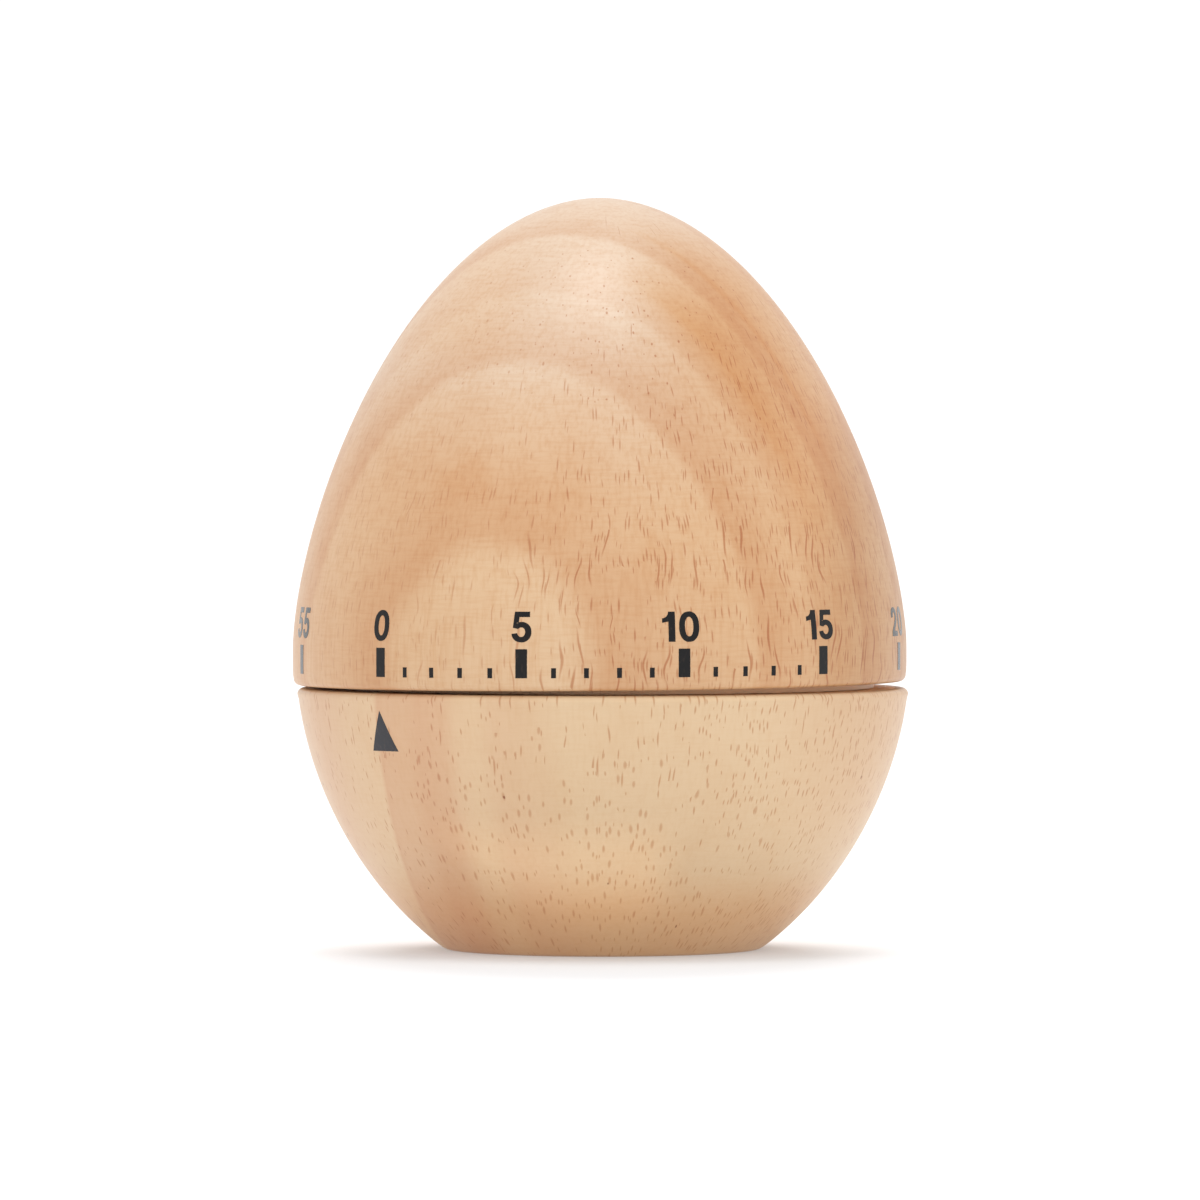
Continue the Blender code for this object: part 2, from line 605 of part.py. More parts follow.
# ---------------------------------------------------------------- mainspring and drum


def make_spring_drum():
    """The pressed cup over the mainspring. Its slot takes the spring's outer end."""
    low = FRONT_PLATE_Z + PLATE + SEAT_GAP
    inner = DRUM_RADIUS - DRUM_WALL
    profile = [
        (inner, low), (DRUM_FLANGE, low), (DRUM_FLANGE, low + 0.6), (DRUM_RADIUS, low + 0.6),
        (DRUM_RADIUS, DRUM_TOP_Z - 0.5), (DRUM_RADIUS - 0.5, DRUM_TOP_Z),
        (MAIN_ARBOR + 0.4, DRUM_TOP_Z), (MAIN_ARBOR + 0.4, DRUM_TOP_Z - DRUM_WALL),
        (inner, DRUM_TOP_Z - DRUM_WALL),
    ]
    drum = turned("spring_drum", profile, "steel", segments=24)
    drill(drum, [(*polar(DRUM_SCREW_RING, a), 0.8, low - 1, low + 2) for a in DRUM_SCREW_ANGLES])
    head = low + 0.6 + SEAT_GAP
    for k, angle in enumerate(DRUM_SCREW_ANGLES, 1):
        screw(f"drum_screw_{k}", polar(DRUM_SCREW_RING, angle), (head + 0.7, head), 1.1, (head, 24.9), 0.7)


def make_mainspring():
    """A flat spiral strip, wider apart outside, with clearance to the arbor and the drum."""
    steps = SPRING_TURNS * 14
    inner, outer = [], []
    for k in range(steps + 1):
        share = k / steps
        angle = 2 * pi * SPRING_TURNS * share
        radius = SPRING_INNER + (SPRING_OUTER - SPRING_INNER) * share
        for ring, offset in ((inner, -SPRING_THICKNESS / 2), (outer, SPRING_THICKNESS / 2)):
            ring.append(((radius + offset) * cos(angle), (radius + offset) * sin(angle)))
    low = FRONT_PLATE_Z + PLATE + 0.3
    plate("mainspring", inner + outer[::-1], low, DRUM_TOP_Z - DRUM_WALL - 0.3, "spring_steel")


# ---------------------------------------------------------------- time train


def make_great_wheel(great):
    """The first wheel, loose on the arbor and driven by a click in the ratchet wheel."""
    holes = [(0, 0, MAIN_ARBOR + RUNNING), (*CLICK, 0.55), (*CLICK_FOOT, 0.45)]
    plate(
        "great_wheel", gear_outline(WHEEL_TEETH, GREAT_MODULE), GREAT_WHEEL_Z, GREAT_WHEEL_Z + 1.0,
        "brass", great, holes,
    )


def make_click(great):
    """The click turns on a pin in the great wheel, with its tip in a tooth space of the ratchet."""
    low = GREAT_WHEEL_Z + 1.0 + SEAT_GAP
    bm = bmesh.new()
    add_prism(bm, circle(0.5, 10), GREAT_WHEEL_Z + 0.05, low + 1.2)
    pin = add_object("click_pin", bm, "steel", great)
    pin.location = (CLICK[0] * MM, CLICK[1] * MM, 0)
    axis = axis_empty("click_axis", CLICK, great)
    tip = Vector(polar(CLICK_TIP_RING, CLICK_TIP_ANGLE)) - Vector(CLICK)
    tail = tip.normalized() * -CLICK_TAIL
    outline = strip_outline([tuple(tip), (0, 0), tuple(tail)], [0.15, 1.05, 0.6])
    plate("click", outline, low, low + 0.95, "steel", axis, [(0, 0, 0.55)])


def make_click_spring(great):
    """A leaf spring riveted to the great wheel. Its free end bears on the side of the click's tail."""
    low = GREAT_WHEEL_Z + 1.0 + SEAT_GAP
    start, end = (8.45, 69), (CLICK_FOOT_RING, CLICK_FOOT_ANGLE)
    points = []
    for k in range(9):
        share = k / 8
        ring = start[0] + (end[0] - start[0]) * share
        points.append(polar(ring, start[1] + (end[1] - start[1]) * share))
    outline = strip_outline(points, [0.12] * 7 + [0.4, 0.85])
    plate("click_spring", outline, low, low + 0.8, "spring_steel", great, [(*CLICK_FOOT, 0.45)])
    bm = bmesh.new()
    add_prism(bm, circle(0.4, 10), GREAT_WHEEL_Z + 0.05, low + 1.0)
    rivet = add_object("click_spring_rivet", bm, "steel", great)
    rivet.location = (CLICK_FOOT[0] * MM, CLICK_FOOT[1] * MM, 0)


def make_train(great):
    """The second, third and escape arbors, each turned so that its pinion meshes at rest."""
    line = radians(SECOND_ANGLE)
    pinion_turn = mesh_phase(line, 0.0, WHEEL_TEETH, PINION_LEAVES)
    second = axis_empty("second_axis", SECOND)
    span = (GREAT_WHEEL_Z - 0.2, GREAT_WHEEL_Z + 1.2)
    arbor_with_pinion("second_arbor", second, GREAT_MODULE, span, pinion_turn)
    wheel("second_wheel", second, SECOND_MODULE, SECOND_WHEEL_Z, pinion_turn)

    line = angle_between(SECOND, THIRD)
    turn = mesh_phase(line, pinion_turn, WHEEL_TEETH, PINION_LEAVES)
    third = axis_empty("third_axis", THIRD)
    span = (SECOND_WHEEL_Z - 0.2, SECOND_WHEEL_Z + WHEEL_THICKNESS + 0.2)
    arbor_with_pinion("third_arbor", third, SECOND_MODULE, span, turn)
    wheel("third_wheel", third, THIRD_MODULE, THIRD_WHEEL_Z, turn)

    line = angle_between(THIRD, ESCAPE)
    turn = mesh_phase(line, turn, WHEEL_TEETH, PINION_LEAVES)
    escape = axis_empty("escape_axis", ESCAPE)
    span = (THIRD_WHEEL_Z - 0.15, THIRD_WHEEL_Z + WHEEL_THICKNESS + 0.2)
    arbor_with_pinion("escape_arbor", escape, THIRD_MODULE, span, turn)
    plate(
        "escape_wheel", saw_outline(24, 4.1, TIP_RADIUS), ESCAPE_WHEEL_Z, ESCAPE_WHEEL_Z + 0.8, "brass",
        escape, [(0, 0, TRAIN_ARBOR + 0.04)], turn,
    )


def plain_arbor(name, parent, low=BACK_PLATE_Z):
    top = FRONT_PLATE_Z + PLATE
    profile = [
        (0, low + 0.05), (TRAIN_PIVOT, low + 0.05), (TRAIN_PIVOT, low + PLATE + 0.15),
        (TRAIN_ARBOR, low + PLATE + 0.15), (TRAIN_ARBOR, FRONT_PLATE_Z - 0.15),
        (TRAIN_PIVOT, FRONT_PLATE_Z - 0.15), (TRAIN_PIVOT, top - 0.05), (0, top - 0.05),
    ]
    return turned(name, profile, "steel", parent, segments=10)


def make_anchor():
    """The pallet anchor and the balance weight that slows it, on one arbor."""
    anchor = axis_empty("anchor_axis", ANCHOR)
    turn = angle_between(ANCHOR, ESCAPE)
    plain_arbor("anchor_arbor", anchor)
    rocker_plate("pallet_anchor", anchor, 13.5, turn, TRAIN_ARBOR)
    for k, place in enumerate(rocker_pins(), 1):
        rocker_pin(f"pallet_pin_{k}", anchor, place, 13.6, ESCAPE_WHEEL_Z + 1.0, turn)
    weight, arm, open_deg = 1.8, 2.5, 45
    right = arc((arm, 0), weight, -180 + open_deg, 180 - open_deg, 8)
    left = [(-x, -y) for x, y in right]
    plate(
        "balance_weight", right + left, BALANCE_Z, BALANCE_Z + 1.2, "brass", anchor,
        [(0, 0, TRAIN_ARBOR + 0.04)], turn + pi / 4,
    )


# ---------------------------------------------------------------- strike


def make_strike():
    """The strike arbor turns a star wheel, which rocks the hammer's verge."""
    line = radians(STRIKE_ANGLE)
    turn = mesh_phase(line, 0.0, WHEEL_TEETH, PINION_LEAVES)
    strike = axis_empty("strike_axis", STRIKE)
    span = (STRIKE_GEAR_Z - 0.2, STRIKE_GEAR_Z + 1.2)
    arbor_with_pinion("strike_arbor", strike, GREAT_MODULE, span, turn)
    plate(
        "star_wheel", saw_outline(16, 3.9, TIP_RADIUS, 0.5), STAR_WHEEL_Z, STAR_WHEEL_Z + 0.8, "steel",
        strike, [(0, 0, TRAIN_ARBOR + 0.04)], turn,
    )


def make_hammer():
    """The hammer: verge between the plates, head below the back plate beside the bell."""
    hammer = axis_empty("hammer_axis", HAMMER)
    top = FRONT_PLATE_Z + PLATE
    profile = [
        (0, 6.0), (HAMMER_SHAFT, 6.0), (HAMMER_SHAFT, FRONT_PLATE_Z - 0.15),
        (TRAIN_PIVOT, FRONT_PLATE_Z - 0.15), (TRAIN_PIVOT, top - 0.05), (0, top - 0.05),
    ]
    turned("hammer_arbor", profile, "steel", hammer, segments=10)
    turn = angle_between(HAMMER, STRIKE)
    rocker_plate("hammer_verge", hammer, 23.5, turn, HAMMER_SHAFT)
    for k, place in enumerate(rocker_pins(), 1):
        low = CAM_Z if k == 1 else STAR_WHEEL_Z - 0.2
        rocker_pin(f"verge_pin_{k}", hammer, place, low, 24.1, turn)
    # the head lies on its ring around the bell, an arm's length from the arbor
    share = (STRIKE_RING_HAMMER**2 + HAMMER_HEAD_RING**2 - HAMMER_ARM**2) / (
        2 * STRIKE_RING_HAMMER * HAMMER_HEAD_RING
    )
    head = Vector(polar(HAMMER_HEAD_RING, HAMMER_ANGLE - degrees(acos(share)))) - Vector(HAMMER)
    arm = strip_outline([tuple(-0.15 * head), (0, 0), tuple(head * 1.12)], [1.1, 1.5, 0.8])
    holes = [(0, 0, HAMMER_SHAFT + 0.04), (head.x, head.y, 0.55)]
    plate("hammer_arm", arm, 9.2, 9.9, "spring_steel", hammer, holes)
    make_hammer_head(hammer, head)


def make_hammer_head(hammer, head):
    """A turned head, riveted through the end of the arm."""
    profile = [
        (0, 5.6), (HAMMER_HEAD - 0.3, 5.6), (HAMMER_HEAD, 5.9), (HAMMER_HEAD, 9.1),
        (0.5, 9.1), (0.5, 10.1), (0, 10.1),
    ]
    made = turned("hammer_head", profile, "brass", hammer, segments=14)
    made.location = (head.x * MM, head.y * MM, 0)


# ---------------------------------------------------------------- trip lever


def verge_pin_place():
    """Where the verge's longer pin stands. The lever's tail ends in a hook around it."""
    turn = angle_between(HAMMER, STRIKE)
    return Vector(HAMMER) + Matrix.Rotation(turn, 2) @ Vector(rocker_pins()[0])


def make_trip_lever():
    """The lever that rides the cam and lets the hammer go at zero, on a stud in the front plate."""
    profile = [
        (0, CAM_Z - 0.55), (1.4, CAM_Z - 0.55), (1.4, CAM_Z - 0.1), (LEVER_STUD, CAM_Z - 0.1),
        (LEVER_STUD, FRONT_PLATE_Z - SEAT_GAP), (0.6, FRONT_PLATE_Z - SEAT_GAP),
        (0.6, FRONT_PLATE_Z + PLATE - 0.05), (0, FRONT_PLATE_Z + PLATE - 0.05),
    ]
    stud = turned("lever_stud", profile, "steel", segments=12)
    stud.location = (LEVER[0] * MM, LEVER[1] * MM, 0)
    lever = axis_empty("lever_axis", LEVER)
    nose = Vector(polar(CAM_RADIUS + 0.15, CAM_NOTCH_ANGLE)) - Vector(LEVER)
    hook = [verge_pin_place() + Vector(offset) - Vector(LEVER) for offset in LEVER_HOOK]
    arms = [
        ([nose * 0.25, nose * 0.7, nose], [1.1, 0.6, 0.15]),
        ([hook[0] * 0.15, hook[0] * 0.4] + hook, [1.1, 0.8] + [LEVER_HOOK_HALF] * len(hook)),
    ]
    made = plate("trip_lever", circle(LEVER_BOSS, 16), CAM_Z, CAM_Z + 0.9, "steel", lever)
    for points, halves in arms:
        bm = bmesh.new()
        add_prism(bm, strip_outline([tuple(point) for point in points], halves), CAM_Z, CAM_Z + 0.9)
        cut_with(made, bm, "UNION")
    drill(made, [(0, 0, LEVER_STUD + RUNNING, CAM_Z - 1, CAM_Z + 2)])


def make_trip_spring():
    """A wound wire spring around the lever's stud."""
    turns, steps, wire, radius = 3, 12, 0.16, 1.35
    low = CAM_Z + 1.25
    points = []
    for k in range(turns * steps + 1):
        angle = 2 * pi * k / steps
        points.append((radius * cos(angle), radius * sin(angle), low + 0.42 * k / steps))
    points = [(radius, -4.0, low)] + points + [(radius + 0.1, 3.6, points[-1][2])]
    curve = bpy.data.curves.new("trip_spring", "CURVE")
    curve.dimensions = "3D"
    curve.bevel_depth = wire * MM
    curve.bevel_resolution = 1
    curve.use_fill_caps = True
    spline = curve.splines.new("POLY")
    spline.points.add(len(points) - 1)
    for point, (x, y, z) in zip(spline.points, points):
        point.co = (x * MM, y * MM, z * MM, 1)
    curve.materials.append(bpy.data.materials["spring_steel"])
    made = bpy.data.objects.new("trip_spring", curve)
    bpy.context.collection.objects.link(made)
    made.location = (LEVER[0] * MM, LEVER[1] * MM, 0)
    made.rotation_euler.z = radians(LEVER_ANGLE)


def main():
    for old in list(bpy.data.objects):
        bpy.data.objects.remove(old)
    for name in MATERIALS:
        make_material(name)
    make_lower_shell()
    make_plates()
    make_pillars()
    make_case_screws()
    make_bell()
    make_fixed_stop()
    make_spring_drum()
    make_mainspring()
    dial = axis_empty("dial_axis")
    make_upper_shell(dial)
    make_main_arbor(dial)
    make_hub(dial)
    make_dial_works(dial)
    great = axis_empty("great_axis")
    make_great_wheel(great)
    make_click(great)
    make_click_spring(great)
    make_train(great)
    make_anchor()
    make_strike()
    make_hammer()
    make_trip_lever()
    make_trip_spring()


main()
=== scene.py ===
"""The looks of a wooden egg-shaped kitchen timer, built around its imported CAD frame.

The two CAD halves are replaced by fine turned skins, the scale is stamped on as thin conforming
ink pieces, and every other CAD node keeps its shape and gets a procedural material.
Shapes are worked out in millimetres, like the CAD, and scaled to metres when a mesh is made.
"""

import json
from math import atan2, cos, degrees, pi, radians, sin, sqrt, tan
from typing import NamedTuple

import bmesh
import bpy
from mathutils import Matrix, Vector, noise


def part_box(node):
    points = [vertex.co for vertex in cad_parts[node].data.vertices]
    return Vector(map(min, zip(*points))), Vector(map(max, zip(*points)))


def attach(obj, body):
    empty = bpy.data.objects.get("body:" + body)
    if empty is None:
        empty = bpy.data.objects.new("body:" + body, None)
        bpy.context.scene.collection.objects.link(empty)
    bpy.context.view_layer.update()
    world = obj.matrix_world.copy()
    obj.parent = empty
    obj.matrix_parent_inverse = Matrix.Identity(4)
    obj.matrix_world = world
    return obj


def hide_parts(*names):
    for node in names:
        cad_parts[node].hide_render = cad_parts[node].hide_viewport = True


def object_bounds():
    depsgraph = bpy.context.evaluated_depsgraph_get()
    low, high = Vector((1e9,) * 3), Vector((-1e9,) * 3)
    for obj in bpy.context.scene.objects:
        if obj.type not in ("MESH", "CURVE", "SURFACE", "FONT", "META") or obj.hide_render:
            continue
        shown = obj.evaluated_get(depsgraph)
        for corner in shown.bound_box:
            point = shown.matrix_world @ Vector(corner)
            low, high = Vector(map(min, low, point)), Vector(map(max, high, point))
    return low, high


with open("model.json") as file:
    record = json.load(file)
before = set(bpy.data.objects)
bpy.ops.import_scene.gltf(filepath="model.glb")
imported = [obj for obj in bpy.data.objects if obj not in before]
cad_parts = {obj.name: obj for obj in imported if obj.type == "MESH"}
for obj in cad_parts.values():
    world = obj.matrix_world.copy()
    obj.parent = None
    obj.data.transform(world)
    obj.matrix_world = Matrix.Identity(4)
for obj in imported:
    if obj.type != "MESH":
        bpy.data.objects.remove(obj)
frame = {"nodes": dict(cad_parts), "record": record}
cad_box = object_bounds()

MM = 0.001


def in_mm(value):
    return value / MM


# ---------------- driving dimensions, from the frame --------------------------------------------

HEIGHT = in_mm(cad_box[1].z)
BODY_RADIUS = in_mm(cad_box[1].x)
BASE_RIM_Z = in_mm(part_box("lower_shell")[1].z)
DIAL_LIP_Z = in_mm(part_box("upper_shell")[0].z)

# The egg's outline, with the same formulas as the CAD
LOWER_BULGE_Z, LOWER_SEMI_HEIGHT, LOWER_POWER = 28.0, 33.2, 1.8
UPPER_BULGE_Z, UPPER_POWER, UPPER_ROOT = 29.8, 1.54, 0.515
RIM_ROUNDING = 0.6
FOOT_ROUNDING, FOOT_RECESS_RADIUS, FOOT_RECESS, RECESS_SLANT = 1.5, 10.5, 0.6, 0.3

# The hollows inside, which hold the clockwork. The step under the dial's rim is drawn a little
# lower than the CAD's, so that the seam looks closed.
CASE_BORE, CASE_SHOULDER_Z = 23.0, 12.0
BELL_BORE, CASE_FLOOR_Z, BELL_CHAMFER = 16.0, 4.0, 1.5
DIAL_BORE, DIAL_CEILING_Z = 21.0, 36.0
DIAL_LIP_RADIUS, DIAL_LIP_DEPTH = 22.3, 1.5
DIAL_RIM_Z = DIAL_LIP_Z + DIAL_LIP_DEPTH
STEP_GAP = 0.06
DIAL_STEP_RADIUS, DIAL_STEP_Z = 26.5, BASE_RIM_Z + STEP_GAP
HUB_POCKET, HUB_POCKET_Z = 5.1, 46.5
SOUND_HOLES, SOUND_HOLE_RADIUS, SOUND_HOLE_RING = 6, 1.5, 7.0
CASE_SCREW_RING, CASE_SCREW_ANGLES, CASE_SCREW_FLOOR_Z = 20.6, (100, 220, 340), 7.4
HUB_SCREW_RING, HUB_SCREW_ANGLES, HUB_SCREW_CEILING_Z = 7.5, (30, 150, 270), 42.5
PILOT_RADIUS, DRILL_OVERRUN = 0.95, 1.0

# How true the dial sits: its centre is a little to the left, and its rim isn't quite square
DIAL_SHIFT, RIM_DROP, RIM_LEAN, RIM_FADE = -0.3, 0.12, 0.2, 9.0

# How finely the skins are turned. A side gap keeps a side's end points off its roundings, and the
# slacks tell the faces under the dial's rim from the outside ones.
SKIN_SEGMENTS, ROUNDING_STEPS, DRILL_SIDES = 288, 10, 32
BASE_STEPS, BASE_SIDE_GAP = 44, 0.5
DIAL_STEPS, DIAL_SIDE_GAP = 90, 0.4
SHARP_EDGE, MERGE_GAP = 35.0, 1e-4
HEIGHT_SLACK, RADIUS_SLACK = 0.01, 0.1


# ---------------- shape helpers -----------------------------------------------------------------


def lower_radius(z):
    share = max(0.0, (LOWER_BULGE_Z - z) / LOWER_SEMI_HEIGHT)
    return BODY_RADIUS * sqrt(1 - share**LOWER_POWER)


def upper_radius(z):
    share = (z - UPPER_BULGE_Z) / (HEIGHT - UPPER_BULGE_Z)
    return BODY_RADIUS * (1 - share**UPPER_POWER) ** UPPER_ROOT


def egg_radius(z):
    return upper_radius(z) if z > UPPER_BULGE_Z else lower_radius(z)


def arc(centre, radius, start, end, steps):
    angles = [radians(start + (end - start) * k / steps) for k in range(steps + 1)]
    return [(centre[0] + radius * cos(a), centre[1] + radius * sin(a)) for a in angles]


def polar(ring, angle):
    return ring * cos(radians(angle)), ring * sin(radians(angle))


def object_of(bm, name):
    """Turns a bmesh in millimetres into an object in metres."""
    bmesh.ops.scale(bm, vec=(MM, MM, MM), verts=bm.verts)
    bmesh.ops.recalc_face_normals(bm, faces=bm.faces)
    mesh = bpy.data.meshes.new(name)
    bm.to_mesh(mesh)
    bm.free()
    mesh.shade_smooth()
    mesh.set_sharp_from_angle(angle=radians(SHARP_EDGE))
    made = bpy.data.objects.new(name, mesh)
    bpy.context.scene.collection.objects.link(made)
    return made


def turned(profile):
    """A lathe-turned closed body from a profile loop of (radius, height) points."""
    bm = bmesh.new()
    corners = [bm.verts.new((r, 0, z)) for r, z in profile]
    pairs = zip(corners, corners[1:] + corners[:1])
    edges = [bm.edges.new(pair) for pair in pairs if pair[0].co.x + pair[1].co.x > 0]
    bmesh.ops.spin(
        bm,
        geom=corners + edges,
        cent=(0, 0, 0),
        axis=(0, 0, 1),
        angle=2 * pi,
        steps=SKIN_SEGMENTS,
        use_merge=True,
    )
    bmesh.ops.remove_doubles(bm, verts=bm.verts, dist=MERGE_GAP)
    return bm


def drilled(piece, holes):
    """Cuts round holes, each (x, y, radius, bottom, top), and applies the cut."""
    bm = bmesh.new()
    turns = [2 * pi * k / DRILL_SIDES for k in range(DRILL_SIDES)]
    for x, y, radius, bottom, top in holes:
        rim = [bm.verts.new((x + radius * cos(a), y + radius * sin(a), bottom)) for a in turns]
        grown = bmesh.ops.extrude_face_region(bm, geom=[bm.faces.new(rim)])["geom"]
        raised = [v for v in grown if isinstance(v, bmesh.types.BMVert)]
        bmesh.ops.translate(bm, vec=(0, 0, top - bottom), verts=raised)
    drill = object_of(bm, "drill")
    modifier = piece.modifiers.new("holes", "BOOLEAN")
    modifier.operation = "DIFFERENCE"
    modifier.object = drill
    graph = bpy.context.evaluated_depsgraph_get()
    cut = bpy.data.meshes.new_from_object(piece.evaluated_get(graph))
    piece.modifiers.clear()
    piece.data = cut
    bpy.data.objects.remove(drill)
    piece.data.shade_smooth()
    piece.data.set_sharp_from_angle(angle=radians(SHARP_EDGE))


def seated(point):
    """Where a point of the ideal dial comes to lie on the real, slightly crooked one."""
    x, y, z = point
    near_rim = max(0.0, 1 - (z - DIAL_RIM_Z) / RIM_FADE)
    near_rim = near_rim * near_rim * (3 - 2 * near_rim)
    return Vector((x + DIAL_SHIFT, y, z + near_rim * (RIM_LEAN * x / BODY_RADIUS - RIM_DROP)))


# ---------------- the two wooden halves ---------------------------------------------------------


def make_base_skin():
    # how steeply the side leaves the foot, over its first millimetre
    slope = atan2(1.0, lower_radius(1.0) - lower_radius(0))
    reach = FOOT_ROUNDING * tan(slope / 2)
    centre = (lower_radius(0) - reach, FOOT_ROUNDING)
    edge = arc(centre, FOOT_ROUNDING, -90, -90 + degrees(slope), ROUNDING_STEPS)
    rim = (lower_radius(BASE_RIM_Z) - RIM_ROUNDING, BASE_RIM_Z - RIM_ROUNDING)
    low, high = edge[-1][1] + BASE_SIDE_GAP, rim[1] - BASE_SIDE_GAP
    side = [low + (high - low) * k / BASE_STEPS for k in range(BASE_STEPS + 1)]
    profile = [(0, FOOT_RECESS), (FOOT_RECESS_RADIUS, FOOT_RECESS)]
    profile += [(FOOT_RECESS_RADIUS + RECESS_SLANT, 0)]
    profile += edge
    profile += [(lower_radius(z), z) for z in side]
    profile += arc(rim, RIM_ROUNDING, 0, 90, ROUNDING_STEPS)
    profile += [(CASE_BORE, BASE_RIM_Z), (CASE_BORE, CASE_SHOULDER_Z)]
    profile += [(BELL_BORE, CASE_SHOULDER_Z), (BELL_BORE, CASE_FLOOR_Z + BELL_CHAMFER)]
    profile += [(BELL_BORE - BELL_CHAMFER, CASE_FLOOR_Z), (0, CASE_FLOOR_Z)]
    skin = object_of(turned(profile), "base_body")
    ring = [polar(SOUND_HOLE_RING, 360 * k / SOUND_HOLES) for k in range(SOUND_HOLES)]
    holes = [(*at, SOUND_HOLE_RADIUS, -DRILL_OVERRUN, CASE_FLOOR_Z + DRILL_OVERRUN) for at in ring]
    ring = [polar(CASE_SCREW_RING, angle) for angle in CASE_SCREW_ANGLES]
    top = CASE_SHOULDER_Z + DRILL_OVERRUN
    holes += [(*at, PILOT_RADIUS, CASE_SCREW_FLOOR_Z, top) for at in ring]
    drilled(skin, holes)
    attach(skin, "case")
    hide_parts("lower_shell")
    return skin


def make_dial_skin():
    rim = (lower_radius(DIAL_RIM_Z) - RIM_ROUNDING, DIAL_RIM_Z + RIM_ROUNDING)
    profile = [(DIAL_BORE, DIAL_LIP_Z), (DIAL_LIP_RADIUS, DIAL_LIP_Z)]
    profile += [(DIAL_LIP_RADIUS, DIAL_STEP_Z), (DIAL_STEP_RADIUS, DIAL_STEP_Z)]
    profile += [(DIAL_STEP_RADIUS, DIAL_RIM_Z)]
    profile += arc(rim, RIM_ROUNDING, -90, 0, ROUNDING_STEPS)
    # equal steps of a quarter turn crowd the points where the top curves most
    low = rim[1] + DIAL_SIDE_GAP
    turns = [pi / 2 * k / DIAL_STEPS for k in range(DIAL_STEPS)]
    side = [low + (HEIGHT - low) * sin(turn) for turn in turns]
    profile += [(egg_radius(z), z) for z in side]
    profile += [(0, HEIGHT), (0, HUB_POCKET_Z), (HUB_POCKET, HUB_POCKET_Z)]
    profile += [(HUB_POCKET, DIAL_CEILING_Z), (DIAL_BORE, DIAL_CEILING_Z)]
    bm = turned(profile)
    for vertex in bm.verts:
        # the hollow and the steps under the rim stay true to the axis
        under_rim = vertex.co.z <= DIAL_RIM_Z + HEIGHT_SLACK
        hidden = (DIAL_STEP_RADIUS if under_rim else DIAL_BORE) + RADIUS_SLACK
        if vertex.co.xy.length > hidden or vertex.co.z > HUB_POCKET_Z:
            vertex.co = seated(vertex.co)
    skin = object_of(bm, "dial_body")
    ring = [polar(HUB_SCREW_RING, angle) for angle in HUB_SCREW_ANGLES]
    bottom = DIAL_CEILING_Z - DRILL_OVERRUN
    drilled(skin, [(*at, PILOT_RADIUS, bottom, HUB_SCREW_CEILING_Z) for at in ring])
    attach(skin, "dial")
    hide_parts("upper_shell")
    return skin


# ---------------- the stamped scale -------------------------------------------------------------

# Angles are in degrees from the front, growing to the right
FIRST_MARK, MINUTE, MINUTES, NUMBER_EVERY, LAST_FINE_MINUTE = -44.4, 6.0, 60, 5, 15
NUMBER_SHIFTS = {10: -0.6, 15: -0.6}
INK_PROUD, INK_SUNK = 0.015, 0.03
BAR_WIDTH, BAR_HEIGHT, BAR_Z = 1.15, 2.7, 27.4
TICK_WIDTH, TICK_HEIGHT = 0.47, 0.94
DIGIT_HEIGHT, DIGIT_Z, DIGIT_GAP = 2.83, 30.75, 0.38
POINTER_ANGLE, POINTER_WIDTH, POINTER_HEIGHT, POINTER_Z = -46.3, 3.56, 3.9, 20.0
# The ink's edge wanders a little. Each mark has a seed, and the two directions differ by a gap.
INK_STEP, INK_WANDER, WANDER_SCALE = 0.28, 0.018, 2.5
MARK_SEED, POINTER_SEED, SEED_GAP = 100, 7, 50


def bend(centre, size, start, end, power=2.0, steps=24):
    """Points along a bow, from one angle to another. A power above 2 squares its corners."""
    points = []
    for k in range(steps + 1):
        a = radians(start + (end - start) * k / steps)
        x, y = cos(a), sin(a)
        grow = (abs(x) ** power + abs(y) ** power) ** (-1 / power)
        points.append((centre[0] + size[0] * x * grow, centre[1] + size[1] * y * grow))
    return points


# Each digit gives its outlines in millimetres, the outer one first, and its width


def digit_0():
    middle = (1.0, DIGIT_HEIGHT / 2)
    outer = bend(middle, (1.0, 1.43), 0, 360, 2.3, 40)[:-1]
    inner = bend(middle, (0.42, 0.92), 0, 360, 2.2, 32)[:-1]
    return [outer, inner], 2.0


def digit_1():
    flag = bend((0.0, DIGIT_HEIGHT), (0.62, 0.62), 0, -90, 2.0, 6)
    return [[(0.6, 0), (1.26, 0), (1.26, DIGIT_HEIGHT), *flag, (0.0, 1.78), (0.6, 1.9)]], 1.26


def digit_2():
    top = bend((0.95, 1.93), (0.93, 0.9), 188, -38, 2.2)
    inner = bend((0.95, 1.93), (0.36, 0.42), -42, 188, 2.0, 16)
    foot = [(0.82, 0.5), (1.88, 0.5), (1.88, 0), (0.0, 0), (0.0, 0.42)]
    return [[*top, *foot, *inner]], 1.9


def digit_3():
    upper = bend((0.93, 2.08), (0.85, 0.75), 175, -35, 2.2, 16)
    lower = bend((0.95, 0.87), (0.97, 0.87), 38, -182, 2.2, 20)
    inner_low = bend((0.93, 0.87), (0.38, 0.4), -178, 88, 2.0, 14)
    inner_high = bend((0.9, 2.08), (0.32, 0.31), -88, 170, 2.0, 12)
    bar = [(0.62, 1.27), (0.62, 1.74)]
    return [[*upper, *lower, *inner_low, *bar, *inner_high]], 1.92


def digit_4():
    outer = [(1.12, 0), (1.72, 0), (1.72, 0.62), (2.05, 0.62), (2.05, 1.1), (1.72, 1.1)]
    outer += [(1.72, DIGIT_HEIGHT), (1.05, DIGIT_HEIGHT), (0.0, 1.12), (0.0, 0.62), (1.12, 0.62)]
    inner = [(0.5, 1.1), (1.12, 1.1), (1.12, 2.1)]
    return [outer, inner], 2.05


